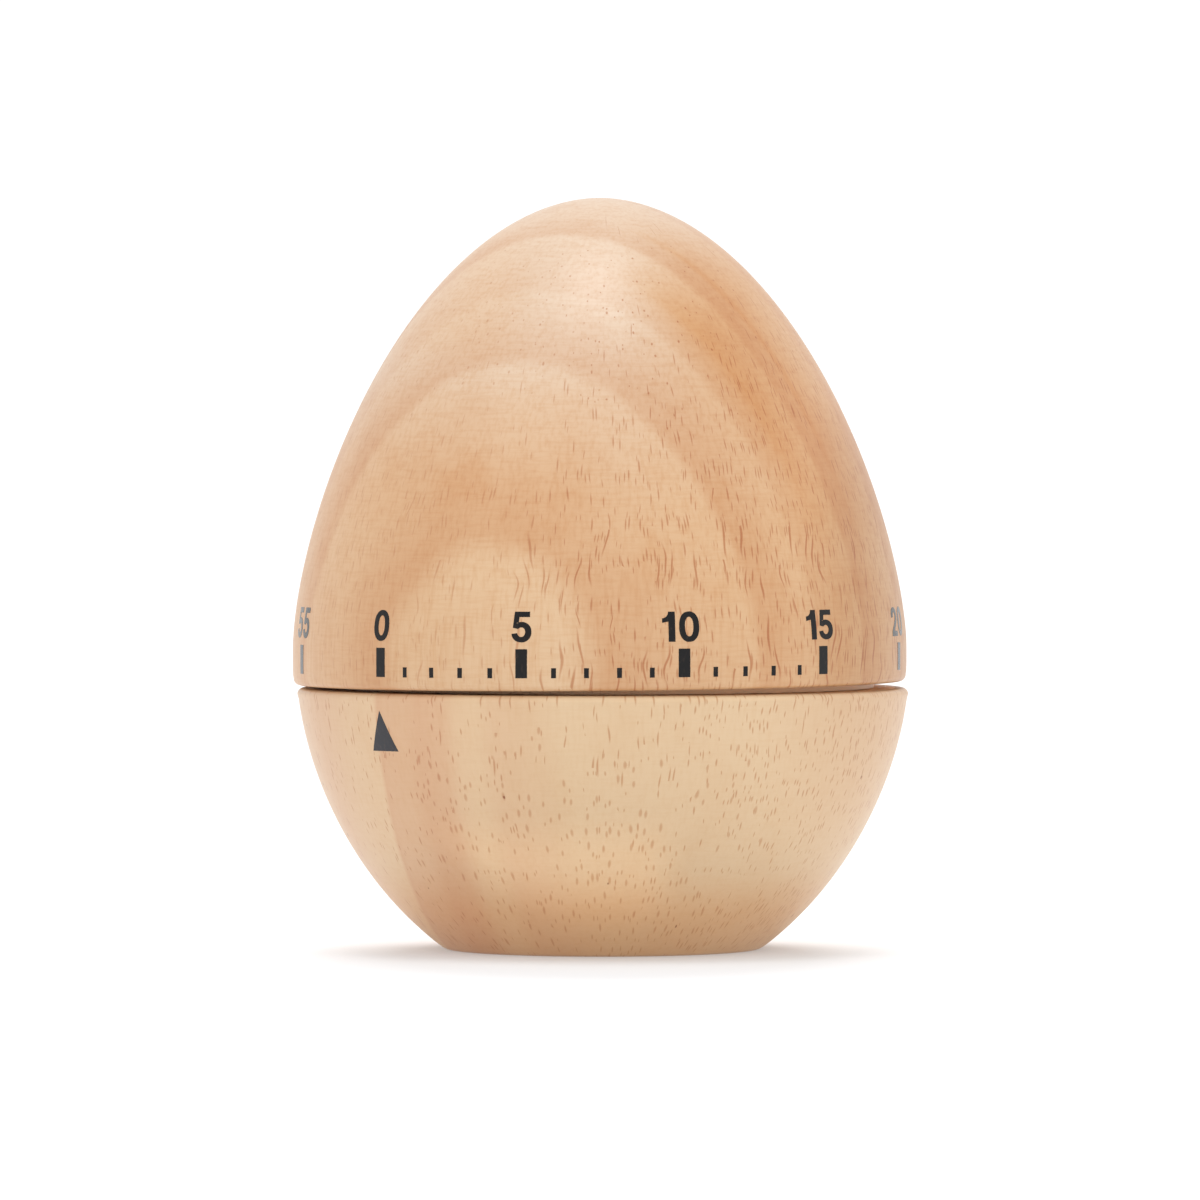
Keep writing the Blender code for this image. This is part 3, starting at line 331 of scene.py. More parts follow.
def digit_5():
    bowl = bend((0.94, 0.93), (0.98, 0.95), 125, -170, 2.2, 26)
    inner = bend((0.92, 0.93), (0.4, 0.45), -168, 140, 2.0, 18)
    flag = [(0.26, DIGIT_HEIGHT), (1.75, DIGIT_HEIGHT), (1.75, 2.33), (0.72, 2.33), (0.66, 1.8)]
    return [[*flag, *bowl, *inner, (0.1, 1.32)]], 1.92


DIGITS = {"0": digit_0, "1": digit_1, "2": digit_2, "3": digit_3, "4": digit_4, "5": digit_5}


def rectangle(width, height):
    return [[(-width / 2, 0), (width / 2, 0), (width / 2, height), (-width / 2, height)]]


def number_loops(text):
    """The outlines of a number's digits, centred on its mark."""
    drawn = [DIGITS[c]() for c in text]
    total = sum(width for _, width in drawn) + DIGIT_GAP * (len(text) - 1)
    loops, left = [], -total / 2
    for outlines, width in drawn:
        loops.append([[(x + left, y) for x, y in loop] for loop in outlines])
        left += width + DIGIT_GAP
    return loops


def finely(loop):
    """The same loop with its long edges divided."""
    points = []
    for a, b in zip(loop, loop[1:] + loop[:1]):
        gap = Vector(b) - Vector(a)
        parts = max(1, round(gap.length / INK_STEP))
        points += [tuple(Vector(a) + gap * k / parts) for k in range(parts)]
    return points


def stamp(bm, loops, angle, bottom, warp, seed):
    """Adds one inked shape, a thin closed body that follows the egg's surface.

    loops are outlines around their own middle, the first one outside and any others holes. angle
    and bottom say where the shape's foot lies, and warp moves each point with the wood below it.
    """
    flat = bmesh.new()
    edges = []
    for loop in loops:
        corners = [flat.verts.new((x, y, 0)) for x, y in finely(loop)]
        edges += [flat.edges.new(pair) for pair in zip(corners, corners[1:] + corners[:1])]
    bmesh.ops.triangle_fill(flat, use_beauty=True, edges=edges)
    long_edges = [e for e in flat.edges if e.calc_length() > 2 * INK_STEP]
    bmesh.ops.subdivide_edges(flat, edges=long_edges, cuts=2)
    bmesh.ops.triangulate(flat, faces=flat.faces)
    bmesh.ops.recalc_face_normals(flat, faces=flat.faces)
    outer, inner = {}, {}
    for vertex in flat.verts:
        x, y = vertex.co.x, vertex.co.y
        if vertex.is_boundary:
            x += INK_WANDER * noise.noise((x * WANDER_SCALE, y * WANDER_SCALE, seed))
            y += INK_WANDER * noise.noise((x * WANDER_SCALE, y * WANDER_SCALE, seed + SEED_GAP))
        z = bottom + y
        radius = egg_radius(z)
        turn = radians(angle) + x / radius
        for store, reach in ((outer, radius + INK_PROUD), (inner, radius - INK_SUNK)):
            store[vertex] = bm.verts.new(warp((reach * sin(turn), -reach * cos(turn), z)))
    for face in flat.faces:
        bm.faces.new([outer[v] for v in face.verts])
        bm.faces.new([inner[v] for v in reversed(face.verts)])
    for edge in flat.edges:
        if edge.is_boundary:
            a, b = edge.verts
            bm.faces.new([outer[a], outer[b], inner[b], inner[a]])
    flat.free()


def finish_ink(bm, name, body):
    piece = object_of(bm, name)
    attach(piece, body)
    return piece


def make_numbers():
    bm = bmesh.new()
    for mark in range(0, MINUTES, NUMBER_EVERY):
        angle = FIRST_MARK + MINUTE * mark + NUMBER_SHIFTS.get(mark, 0.0)
        for loops in number_loops(str(mark)):
            stamp(bm, loops, angle, DIGIT_Z, seated, mark)
    return finish_ink(bm, "dial_numbers", "dial")


def make_minute_marks():
    bm = bmesh.new()
    for mark in range(MINUTES):
        numbered = mark % NUMBER_EVERY == 0
        if numbered or mark < LAST_FINE_MINUTE:
            size = (BAR_WIDTH, BAR_HEIGHT) if numbered else (TICK_WIDTH, TICK_HEIGHT)
            angle = FIRST_MARK + MINUTE * mark
            stamp(bm, rectangle(*size), angle, BAR_Z, seated, mark + MARK_SEED)
    return finish_ink(bm, "dial_minute_marks", "dial")


def make_pointer():
    bm = bmesh.new()
    triangle = [(-POINTER_WIDTH / 2, 0), (POINTER_WIDTH / 2, 0), (0, POINTER_HEIGHT)]
    stamp(bm, [triangle], POINTER_ANGLE, POINTER_Z, Vector, POINTER_SEED)
    return finish_ink(bm, "base_pointer", "case")


# ---------------- materials ---------------------------------------------------------------------


class Pattern(NamedTuple):
    """A noise, stretched along the axes, and the limits between which its stain takes hold."""

    stretch: tuple
    scale: float
    detail: float
    roughness: float
    limits: tuple


class Graph:
    """A material's nodes. Each call adds a node and gives back the socket that it puts out."""

    def __init__(self, name):
        self.material = bpy.data.materials.new(name)
        self.material.use_nodes = True
        self.tree = self.material.node_tree
        self.shader = self.tree.nodes["Principled BSDF"]

    def set(self, socket, value):
        if isinstance(value, bpy.types.NodeSocket):
            self.tree.links.new(value, socket)
        else:
            socket.default_value = value

    def node(self, kind, inputs, **settings):
        node = self.tree.nodes.new(kind)
        for name, value in settings.items():
            setattr(node, name, value)
        for name, value in inputs.items():
            self.set(node.inputs[name], value)
        return node

    def add(self, kind, out, inputs, **settings):
        return self.node(kind, inputs, **settings).outputs[out]

    def principled(self, **inputs):
        for name, value in inputs.items():
            self.set(self.shader.inputs[name.replace("_", " ")], value)

    def math(self, operation, a, b=0.0, c=0.0):
        return self.add("ShaderNodeMath", 0, {0: a, 1: b, 2: c}, operation=operation)

    def times(self, *factors):
        product = factors[0]
        for factor in factors[1:]:
            product = self.math("MULTIPLY", product, factor)
        return product

    def vector(self, operation, a, b=(0, 0, 0), out="Vector"):
        return self.add("ShaderNodeVectorMath", out, {0: a, 1: b}, operation=operation)

    def millimetres(self):
        """The piece's own coordinates, in millimetres."""
        place = self.add("ShaderNodeTexCoord", "Object", {})
        return self.vector("MULTIPLY", place, (1 / MM, 1 / MM, 1 / MM))

    def noise(self, place, scale, detail=2.0, roughness=0.5, out="Fac"):
        inputs = {"Vector": place, "Scale": scale, "Detail": detail, "Roughness": roughness}
        return self.add("ShaderNodeTexNoise", out, inputs)

    def pattern(self, place, pattern):
        stretched = self.vector("MULTIPLY", place, pattern.stretch)
        return self.noise(stretched, pattern.scale, pattern.detail, pattern.roughness)

    def ease(self, value, low, high, to_low=0.0, to_high=1.0):
        inputs = {0: value, 1: low, 2: high, 3: to_low, 4: to_high}
        return self.add("ShaderNodeMapRange", 0, inputs, interpolation_type="SMOOTHSTEP")

    def mix(self, share, a, b, blend="MIX"):
        node = self.node("ShaderNodeMix", {}, data_type="RGBA", blend_type=blend)
        self.set(next(s for s in node.inputs if s.name == "Factor"), share)
        for name, value in (("A", a), ("B", b)):
            self.set(next(s for s in node.inputs if s.name == name and s.type == "RGBA"), value)
        return next(s for s in node.outputs if s.type == "RGBA")

    def ramp(self, value, stops):
        node = self.node("ShaderNodeValToRGB", {0: value})
        elements = node.color_ramp.elements
        while len(elements) < len(stops):
            elements.new(1.0)
        for element, (place, colour) in zip(elements, stops):
            element.position = place
            element.color = colour
        return node.outputs[0]

    def bump(self, height, strength, distance):
        inputs = {"Height": height, "Strength": strength, "Distance": distance}
        return self.add("ShaderNodeBump", 0, inputs)


def rgb(red, green, blue):
    """A colour given as the eye sees it, from 0 to 255, in the linear form that shaders take."""
    linear = [((c / 255 + 0.055) / 1.055) ** 2.4 for c in (red, green, blue)]
    return (*linear, 1.0)


def compass(angle):
    """The level direction at an angle in degrees from the front, growing to the right."""
    turn = radians(angle)
    return sin(turn), -cos(turn), 0


# ---------------- wood, seen from its place in the egg ------------------------------------------

AXES = {
    "height": (0, 0, 1),
    "front": compass(0.0),
    "right": compass(80.0),
    "left": compass(-80.0),
    "due_right": compass(90.0),
}

# A stain is what it multiplies the colour by where it has taken hold in full
STAIN = (0.88, 0.74, 0.60)
PORE_DARK, SPECK_DARK = (0.64, 0.35, 0.19), (0.45, 0.26, 0.18)

# Growth rings: how far they are told apart, how finely they waver, and how each one's tone runs
RING_SPAN = 34.0
SLOW_WAVE, QUICK_WAVE, QUICK_SHARE = 0.03, 0.14, 0.3
RING_RISE, RING_RISE_SHADE, RING_EDGE = 3.2, 0.3, 0.35

# The wood inside the seam is painted paler, as painted light in the narrow slot, the more so to
# the right
SEAM_LIGHT_TONE, SEAM_LIGHT_FADE = rgb(252, 214, 172), ("due_right", -18.0, 12.0)
SEAM_LIGHT_RADIUS, SEAM_LIGHT_DEPTH, SEAM_LIGHT_BLEND = 28.6, 2.0, 0.1

# Pores: the radius that the surface is unrolled at, how slowly they sway, how small they get, and
# where their soft edge ends and they are darkest, as shares of their radius
UNROLLED_RADIUS, UNROLLED_WAVE, SOLID_WAVE = 26.0, 0.2, 0.4
SMALLEST_PORE, PORE_EDGE = 0.55, (1.1, 0.35)

LACQUER_SPECULAR, LACQUER_COAT, LACQUER_COAT_ROUGHNESS = 0.38, 0.2, 0.3
LACQUER_ROUGHNESS, FIBRE_ROUGHNESS = 0.38, 0.1
FIBRE_RELIEF, RELIEF_STRENGTH, RELIEF_DEPTH = 0.25, 0.12, 0.00006


CLOUDS = Pattern((1, 1, 0.5), scale=0.16, detail=3.0, roughness=0.55, limits=(0.42, 0.72))
FIBRES = Pattern((1, 1, 0.06), scale=2.6, detail=3.0, roughness=0.6, limits=(0.4, 0.75))
RAYS = Pattern((0.3, 0.3, 3.0), scale=1.2, detail=2.0, roughness=0.6, limits=(0.42, 0.7))
RAY_SHARE = 0.6


class PoreLayer(NamedTuple):
    """Open vessels of one kind: dashes along the grain, or dots where the surface cuts across it.

    They lie in the cells of a loose grid. cell is a cell's width in millimetres and stretch its
    height over its width. radius and sway, how far a vessel wanders, are in millimetres too. dark
    is how strongly they show. Unrolled layers keep the dashes' length where the surface slopes.
    """

    cell: float
    stretch: float
    radius: float
    sway: float
    dark: float
    unrolled: bool = True


class Wood(Graph):
    """A turned wooden body's material, worked out from each point's place in millimetres.

    A zone is (axis, start, full), a share that eases from 0 to 1 between two places along an axis,
    or (axis, start, full, share at the start, share at the full end).
    """

    def __init__(self, name):
        super().__init__(name)
        self.place = self.millimetres()

    def along(self, axis):
        return self.vector("DOT_PRODUCT", self.place, AXES[axis], out="Value")

    def zone(self, *zones):
        """The share that several zones leave together."""
        return self.times(*(self.ease(self.along(axis), *limits) for axis, *limits in zones))

    def most(self, *shares):
        largest = shares[0]
        for share in shares[1:]:
            largest = self.math("MAXIMUM", largest, share)
        return largest

    def tint(self, colour, share, tone):
        """Multiplies the colour by a tone, by a share from 0 to 1: a stain, or painted shade where
        the tone stands for it.
        """
        return self.mix(share, colour, (*tone, 1), "MULTIPLY")

    def drift(self, place, scale, detail, reach):
        """A wander of up to half of reach along each axis."""
        wave = self.noise(place, scale, detail, out="Color")
        centred = self.vector("SUBTRACT", wave, (0.5, 0.5, 0.5))
        return self.vector("MULTIPLY", centred, reach)

    def growth_rings(self, towards, pith_distance, waver):
        """How far a point lies from the pith, less the axis's own distance from it.

        Rings are its levels. The pith is upright, on the far side of the axis from the compass
        angle towards. waver bends the rings.
        """
        less = QUICK_SHARE * waver
        slow = self.drift(self.place, SLOW_WAVE, 1.0, (waver, waver, 0))
        quick = self.drift(self.place, QUICK_WAVE, 2.0, (less, less, 0))
        bent = self.vector("ADD", self.vector("ADD", self.place, slow), quick)
        pith = tuple(pith_distance * part for part in compass(towards))
        from_pith = self.vector("ADD", self.vector("MULTIPLY", bent, (1, 1, 0)), pith)
        reach = self.vector("LENGTH", from_pith, out="Value")
        return self.math("SUBTRACT", reach, pith_distance)

    def shade_by_ring(self, rings, stops):
        """Looks a ring's shade up, from 0 pale to 1 dark. stops are (distance, shade) pairs."""
        share = self.math("MULTIPLY_ADD", rings, 1 / (2 * RING_SPAN), 0.5)
        places = [(distance + RING_SPAN) / (2 * RING_SPAN) for distance, _ in stops]
        greys = [(shade, shade, shade, 1) for _, shade in stops]
        return self.ramp(share, list(zip(places, greys)))

    def texture(self, colour, streak, cloud):
        """Soft clouds, fine fibres along the grain and short rays across it, over a colour."""
        for pattern, most in ((CLOUDS, cloud), (FIBRES, streak), (RAYS, RAY_SHARE * streak)):
            level = self.pattern(self.place, pattern)
            share = self.ease(level, *pattern.limits, 0.0, most)
            colour = self.tint(colour, share, STAIN)
        return colour

    def unrolled(self):
        """A point's place on the unrolled surface: millimetres round the axis, then the height."""
        x, y, z = self.node("ShaderNodeSeparateXYZ", {0: self.place}).outputs
        turn = self.math("ARCTAN2", x, self.math("MULTIPLY", y, -1.0))
        round_axis = self.math("MULTIPLY", turn, UNROLLED_RADIUS)
        return self.add("ShaderNodeCombineXYZ", 0, {0: round_axis, 1: z})

    def pores(self, layer, density):
        """A layer's vessels. density, from 0 to 1, is the share of the cells that hold one."""
        if layer.unrolled:
            place, shape, squeeze = self.unrolled(), "2D", (1, 1 / layer.stretch, 1)
            sway = self.drift(place, UNROLLED_WAVE, 1.0, (layer.sway, 0, 0))
        else:
            place, shape, squeeze = self.place, "3D", (1, 1, 1 / layer.stretch)
            sway = self.drift(place, SOLID_WAVE, 1.0, (layer.sway, layer.sway, 0))
        squeezed = self.vector("ADD", self.vector("MULTIPLY", place, squeeze), sway)
        inputs = {"Vector": squeezed, "Scale": 1 / layer.cell}
        cells = self.node("ShaderNodeTexVoronoi", inputs, voronoi_dimensions=shape)
        draws = self.node("ShaderNodeSeparateColor", {0: cells.outputs["Color"]})
        chance, size, _ = draws.outputs
        radius = layer.radius / layer.cell
        reach = self.math("MULTIPLY_ADD", size, radius, SMALLEST_PORE * radius)
        inside = self.ease(self.math("DIVIDE", cells.outputs["Distance"], reach), *PORE_EDGE)
        return self.times(inside, self.math("LESS_THAN", chance, density), layer.dark)

    def bare(self, colour, near_seam):
        """Paints light onto the wood inside the seam, as a paler colour. near_seam is the zone
        that reaches it.
        """
        level = self.vector("MULTIPLY", self.place, (1, 1, 0))
        radius = self.vector("LENGTH", level, out="Value")
        inside = self.math("LESS_THAN", radius, SEAM_LIGHT_RADIUS)
        share = self.times(inside, self.zone(near_seam), self.zone(SEAM_LIGHT_FADE))
        return self.mix(share, colour, SEAM_LIGHT_TONE)

    def finish(self, colour, holes):
        """A thin satin lacquer that leaves the pores open."""
        fibres = self.pattern(self.place, FIBRES)
        height = self.math("SUBTRACT", self.math("MULTIPLY", fibres, FIBRE_RELIEF), holes)
        self.principled(
            Base_Color=colour,
            Roughness=self.math("MULTIPLY_ADD", fibres, FIBRE_ROUGHNESS, LACQUER_ROUGHNESS),
            Specular_IOR_Level=LACQUER_SPECULAR,
            Coat_Weight=LACQUER_COAT,
            Coat_Roughness=LACQUER_COAT_ROUGHNESS,
            Normal=self.bump(height, RELIEF_STRENGTH, RELIEF_DEPTH),
        )
        return self.material


def ring_teeth(edges):
    """Each ring darkens slowly up to its edge, and the next one starts pale.

    edges are (distance, depth) pairs.
    """
    stops = []
    for edge, depth in edges:
        stops += [(edge - RING_RISE, RING_RISE_SHADE * depth)]
        stops += [(edge - RING_EDGE, depth), (edge + RING_EDGE, 0.0)]
    return stops


# The dial's wood, with zones and ring distances in millimetres, from a low tone to a high one. The
# high tone is paler and pinker towards the top: partly the wood's own tone, partly a painted
# highlight from the softbox above.
DIAL_LOW, DIAL_HIGH_AND_HIGHLIGHT, DIAL_TONE_AND_HIGHLIGHT_FADE = rgb(213, 180, 143), rgb(213, 189, 165), ("height", 40.0, 60.0)
DIAL_TOWARDS, DIAL_PITH, DIAL_WAVER = -20.0, 100.0, 1.6
DIAL_RING_DARK = (0.89, 0.76, 0.66)
DIAL_EDGES = (
    (-24.0, 0.7), (-15.0, 0.8), (-7.0, 0.6), (1.5, 0.5),
    (10.3, 0.75), (16.2, 0.35), (21.2, 0.8), (28.5, 1.0),
)

# Heartwood on the right, which narrows between two heights: there it starts and is full sooner
AMBER, AMBER_FADE = (0.89, 0.69, 0.48), ("height", 42.0, 56.0, 0.4, 1.0)
AMBER_NARROWS, AMBER_START, AMBER_FULL = (54.0, 61.0), (-3.0, 4.0), (22.0, 15.0)

# Quieter stains and painted shade, each with the zones that hold it
DIAL_STAINS_AND_SHADE = (
    # painted shade at the far right edge
    ((0.82, 0.76, 0.68), [("right", 21.5, 28.0)]),
    (
        (0.98, 0.93, 0.87),
        [("height", 40.0, 46.0), ("height", 58.0, 53.0), ("due_right", 3.0, -4.0)],
    ),
    # painted shade on the upper left shoulder, which holds the painted highlight back
    ((0.98, 0.92, 0.84), [("due_right", -5.0, -13.0), ("height", 55.0, 60.0)]),
    # painted shade at the far right edge, at mid height
    ((0.94, 0.86, 0.76), [("height", 38.0, 44.0), ("height", 58.0, 50.0), ("right", 19.0, 24.5)]),
    # painted shade down the left side
    ((0.89, 0.82, 0.75), [("left", 10.0, 27.0, 0.0, 0.8)]),
)

# Darker bands in the heartwood that follow the rings, with a fine line at their edges
BAND = (0.93, 0.77, 0.56)
BAND_ZONES = [("right", 2.0, 11.0), ("height", 38.0, 56.0, 0.25, 1.0)]
BAND_RINGS = (
    (4.5, 0), (7.2, 0.45), (7.9, 1), (8.5, 0.45), (11.0, 0.5), (13.6, 1), (14.4, 0.6), (16.5, 0),
)

# Brown flecks above the ring around the 5
FLECK, FLECK_SCALE, FLECK_LIMITS = (0.95, 0.86, 0.76), 0.16, (0.5, 0.8, 0.0, 0.8)
FLECK_ZONES = [("height", 56.0, 46.0), ("height", 32.0, 38.0)]
DIAL_STREAK, DIAL_CLOUD = 0.48, 0.22

# Pores crowd together low on the right, and thin out to a few dots near the top
DIAL_FINE = PoreLayer(cell=0.33, stretch=8.0, radius=0.072, sway=1.0, dark=0.65)
DIAL_FINE_MOST = 0.8
DIAL_FINE_LOW = ("height", 64.0, 43.0, 0.03, 1.0)
DIAL_FINE_SHOULDER = [("right", 10.0, 17.0), ("height", 66.0, 58.0)]
DIAL_FINE_RIGHT, DIAL_FINE_LEFT = ("right", -8.0, 10.0, 0.2, 1.0), ("left", 12.0, 22.0, 0.0, 0.7)
DIAL_LONG = PoreLayer(cell=0.62, stretch=17.0, radius=0.1, sway=2.4, dark=0.75)
DIAL_LONG_ZONES = [("height", 49.0, 34.0), ("right", -16.0, 2.0, 0.12, 0.9)]
DIAL_DOTS = PoreLayer(cell=0.36, stretch=3.0, radius=0.09, sway=0.5, dark=0.8, unrolled=False)
DIAL_DOT_ZONES = [
    ("height", 70.0, 65.0, 0.0, 0.22), ("right", 14.0, 6.0, 0.3, 1.0), ("height", 50.0, 57.0),
]
DIAL_PATCHES, DIAL_PATCH_LIMITS = 0.12, (0.3, 0.6, 0.5, 1.0)
DIAL_PORE_FADE = ("right", -12.0, 8.0, 0.5, 1.0)
# painted light inside the seam, under the dial's rim
DIAL_SEAM_LIGHT_TOP = DIAL_RIM_Z + RIM_ROUNDING
DIAL_SEAM_LIGHT = ("height", DIAL_SEAM_LIGHT_TOP, DIAL_SEAM_LIGHT_TOP - SEAM_LIGHT_BLEND)


def make_dial_wood():
    wood = Wood("dial_wood_grain")
    rings = wood.growth_rings(DIAL_TOWARDS, DIAL_PITH, DIAL_WAVER)
    # paler towards the top: partly the wood's tone, partly a painted highlight
    colour = wood.mix(wood.zone(DIAL_TONE_AND_HIGHLIGHT_FADE), DIAL_LOW, DIAL_HIGH_AND_HIGHLIGHT)
    colour = wood.tint(colour, wood.shade_by_ring(rings, ring_teeth(DIAL_EDGES)), DIAL_RING_DARK)
    height = wood.along("height")
    start = wood.ease(height, *AMBER_NARROWS, *AMBER_START)
    full = wood.ease(height, *AMBER_NARROWS, *AMBER_FULL)
    colour = wood.tint(colour, wood.zone(("right", start, full), AMBER_FADE), AMBER)
    # stains, and painted shade at the sides and on the left shoulder
    for tone, zones in DIAL_STAINS_AND_SHADE:
        colour = wood.tint(colour, wood.zone(*zones), tone)
    band = wood.times(wood.shade_by_ring(rings, BAND_RINGS), wood.zone(*BAND_ZONES))
    colour = wood.tint(colour, band, BAND)
    fleck = wood.ease(wood.noise(wood.place, FLECK_SCALE, 3.0), *FLECK_LIMITS)
    colour = wood.tint(colour, wood.times(fleck, wood.zone(*FLECK_ZONES)), FLECK)
    colour = wood.texture(colour, DIAL_STREAK, DIAL_CLOUD)

    patchy = wood.ease(wood.noise(wood.place, DIAL_PATCHES), *DIAL_PATCH_LIMITS)
    low = wood.most(wood.zone(DIAL_FINE_LOW), wood.zone(*DIAL_FINE_SHOULDER))
    across = wood.most(wood.zone(DIAL_FINE_RIGHT), wood.zone(DIAL_FINE_LEFT))
    holes = wood.most(
        wood.pores(DIAL_FINE, wood.times(low, across, patchy, DIAL_FINE_MOST)),
        wood.pores(DIAL_LONG, wood.times(wood.zone(*DIAL_LONG_ZONES), patchy)),
        wood.pores(DIAL_DOTS, wood.zone(*DIAL_DOT_ZONES)),
    )
    colour = wood.tint(colour, wood.times(holes, wood.zone(DIAL_PORE_FADE)), PORE_DARK)
    return wood.finish(wood.bare(colour, DIAL_SEAM_LIGHT), holes)


# The base's wood. Its rings are nearly straight bands that run up the left side of the front.
BASE_TONE, BASE_PALE = rgb(216, 187, 150), rgb(230, 198, 158)
BASE_PALE_ZONES = [("height", 15.0, 9.0), ("front", 18.0, 23.0), ("due_right", 9.0, 3.0)]
BASE_TOWARDS, BASE_PITH, BASE_WAVER = -115.4, 400.0, 0.8
BASE_RING_DARK = (0.90, 0.76, 0.72)
BASE_BANDS = (
    (-30.0, 0.3), (-24.0, 0.0), (-8.0, 0.0), (-3.5, 0.35), (-1.2, 0.45), (0.8, 0.15),
    (2.6, 0.3), (4.2, 0.85), (6.8, 1.0), (8.6, 0.75), (11.2, 0.8), (11.75, 1.0),
    (12.1, 0.1), (16.0, 0.2), (20.0, 0.6), (28.0, 0.2),
)
# Painted shade: darker down both sides and towards the foot
BASE_PAINTED_SHADE = (
    # painted shade down the left side
    ((0.89, 0.86, 0.86), [("left", 19.0, 30.0, 0.0, 0.7)]),
    # painted shade down the right side
    ((0.89, 0.84, 0.80), [("right", 19.0, 30.0, 0.0, 0.7)]),
    # painted shade, darker towards the foot
    ((1.0, 0.86, 0.74), [("height", 9.5, 3.5)]),
)
BASE_STREAK, BASE_CLOUD = 0.18, 0.16

# Short wide pores over the front, fine dashes to the sides, streaks at the rim and dark specks
BASE_WIDE = PoreLayer(cell=0.62, stretch=2.6, radius=0.14, sway=1.0, dark=0.48)
BASE_WIDE_MOST = 0.7
BASE_WIDE_ZONES = [("right", 22.0, 12.0), ("left", 24.0, 14.0), ("height", 23.0, 17.0)]
BASE_FINE = PoreLayer(cell=0.36, stretch=4.5, radius=0.075, sway=1.2, dark=0.6)
BASE_FINE_RIGHT, BASE_FINE_LEFT = ("right", 6.0, 22.0, 0.1, 0.7), ("left", 12.0, 26.0, 0.1, 0.35)
BASE_RIM = PoreLayer(cell=0.42, stretch=9.0, radius=0.085, sway=1.0, dark=0.6)
BASE_RIM_ZONES = [("height", 15.0, 23.0, 0.0, 0.55), ("right", -14.0, 16.0, 0.3, 1.0)]
BASE_SPECKS = PoreLayer(cell=4.6, stretch=1.4, radius=0.14, sway=1.0, dark=1.0)
BASE_SPECKS_SHARE = 0.25
BASE_PATCHES, BASE_PATCH_LIMITS = 0.14, (0.32, 0.58, 0.3, 1.0)
# painted light inside the seam, on the base's rim
BASE_SEAM_LIGHT_LOW = BASE_RIM_Z - SEAM_LIGHT_DEPTH
BASE_SEAM_LIGHT = ("height", BASE_SEAM_LIGHT_LOW, BASE_SEAM_LIGHT_LOW + SEAM_LIGHT_BLEND)


def make_base_wood():
    wood = Wood("base_wood_grain")
    rings = wood.growth_rings(BASE_TOWARDS, BASE_PITH, BASE_WAVER)
    colour = wood.mix(wood.zone(*BASE_PALE_ZONES), BASE_TONE, BASE_PALE)
    colour = wood.tint(colour, wood.shade_by_ring(rings, BASE_BANDS), BASE_RING_DARK)
    # painted shade at the sides and towards the foot
    for tone, zones in BASE_PAINTED_SHADE:
        colour = wood.tint(colour, wood.zone(*zones), tone)
    colour = wood.texture(colour, BASE_STREAK, BASE_CLOUD)

    patchy = wood.ease(wood.noise(wood.place, BASE_PATCHES), *BASE_PATCH_LIMITS)
    sides = wood.most(wood.zone(BASE_FINE_RIGHT), wood.zone(BASE_FINE_LEFT))
    holes = wood.most(
        wood.pores(BASE_WIDE, wood.times(wood.zone(*BASE_WIDE_ZONES), patchy, BASE_WIDE_MOST)),
        wood.pores(BASE_FINE, wood.times(sides, patchy)),
        wood.pores(BASE_RIM, wood.zone(*BASE_RIM_ZONES)),
    )
    colour = wood.tint(colour, holes, PORE_DARK)
    colour = wood.tint(colour, wood.pores(BASE_SPECKS, BASE_SPECKS_SHARE), SPECK_DARK)
    return wood.finish(wood.bare(colour, BASE_SEAM_LIGHT), holes)


# ---------------- ink, metal and plastic --------------------------------------------------------

INK_SOAK = Pattern((1, 1, 0.4), scale=3.0, detail=3.0, roughness=0.6, limits=(0.52, 0.8))
SOAKED_INK = rgb(120, 96, 80)
INK_GLOSS, INK_SPECULAR = (0.2, 0.8, 0.3, 0.45), 0.05
INK_COAT, INK_COAT_IOR, INK_COAT_ROUGHNESS = 1.0, 1.3, 0.2
SCALE_INK, SCALE_WEAR = rgb(10, 8, 9), 0.12
POINTER_INK, POINTER_WEAR = rgb(48, 48, 52), 0.3


def make_ink(name, tone, worn):
    """Stamped ink: near black, thinner where the wood's pores took it up."""
    graph = Graph(name)
    soak = graph.pattern(graph.millimetres(), INK_SOAK)
    thin = graph.ease(soak, *INK_SOAK.limits, 0.0, worn)
    graph.principled(
        Base_Color=graph.mix(thin, tone, SOAKED_INK),
        Roughness=graph.ease(soak, *INK_GLOSS),
        Specular_IOR_Level=INK_SPECULAR,
        Coat_Weight=INK_COAT,
        Coat_IOR=INK_COAT_IOR,
        Coat_Roughness=INK_COAT_ROUGHNESS,
    )
    return graph.material


# Each metal slot's material name, tone, darker shade, roughness and stretch of its working marks
METALS = {
    "steel": ("machined_steel", rgb(196, 197, 200), rgb(150, 152, 156), 0.26, (1, 1, 0.2)),
    "spring_steel": (
        "blued_spring_steel", rgb(110, 118, 134), rgb(74, 80, 96), 0.24, (1, 1, 0.15),
    ),
    "brass": ("cut_brass", rgb(214, 176, 98), rgb(176, 136, 66), 0.24, (1, 0.25, 1)),
    "bell_chrome": ("plated_bell", rgb(222, 222, 226), rgb(190, 190, 196), 0.1, (0.3, 0.3, 1)),
}
MARKS_SCALE, MARKS_DETAIL, MARKS_ROUGHNESS, MARKS_LIMITS = 4.0, 4.0, 0.65, (0.3, 0.75)
TARNISH_SCALE, TARNISH_LIMITS = 0.5, (0.5, 0.8, 0.0, 0.35)
MARKS_GLOSS, MARKS_RELIEF, MARKS_DEPTH = 0.16, 0.08, 0.00002


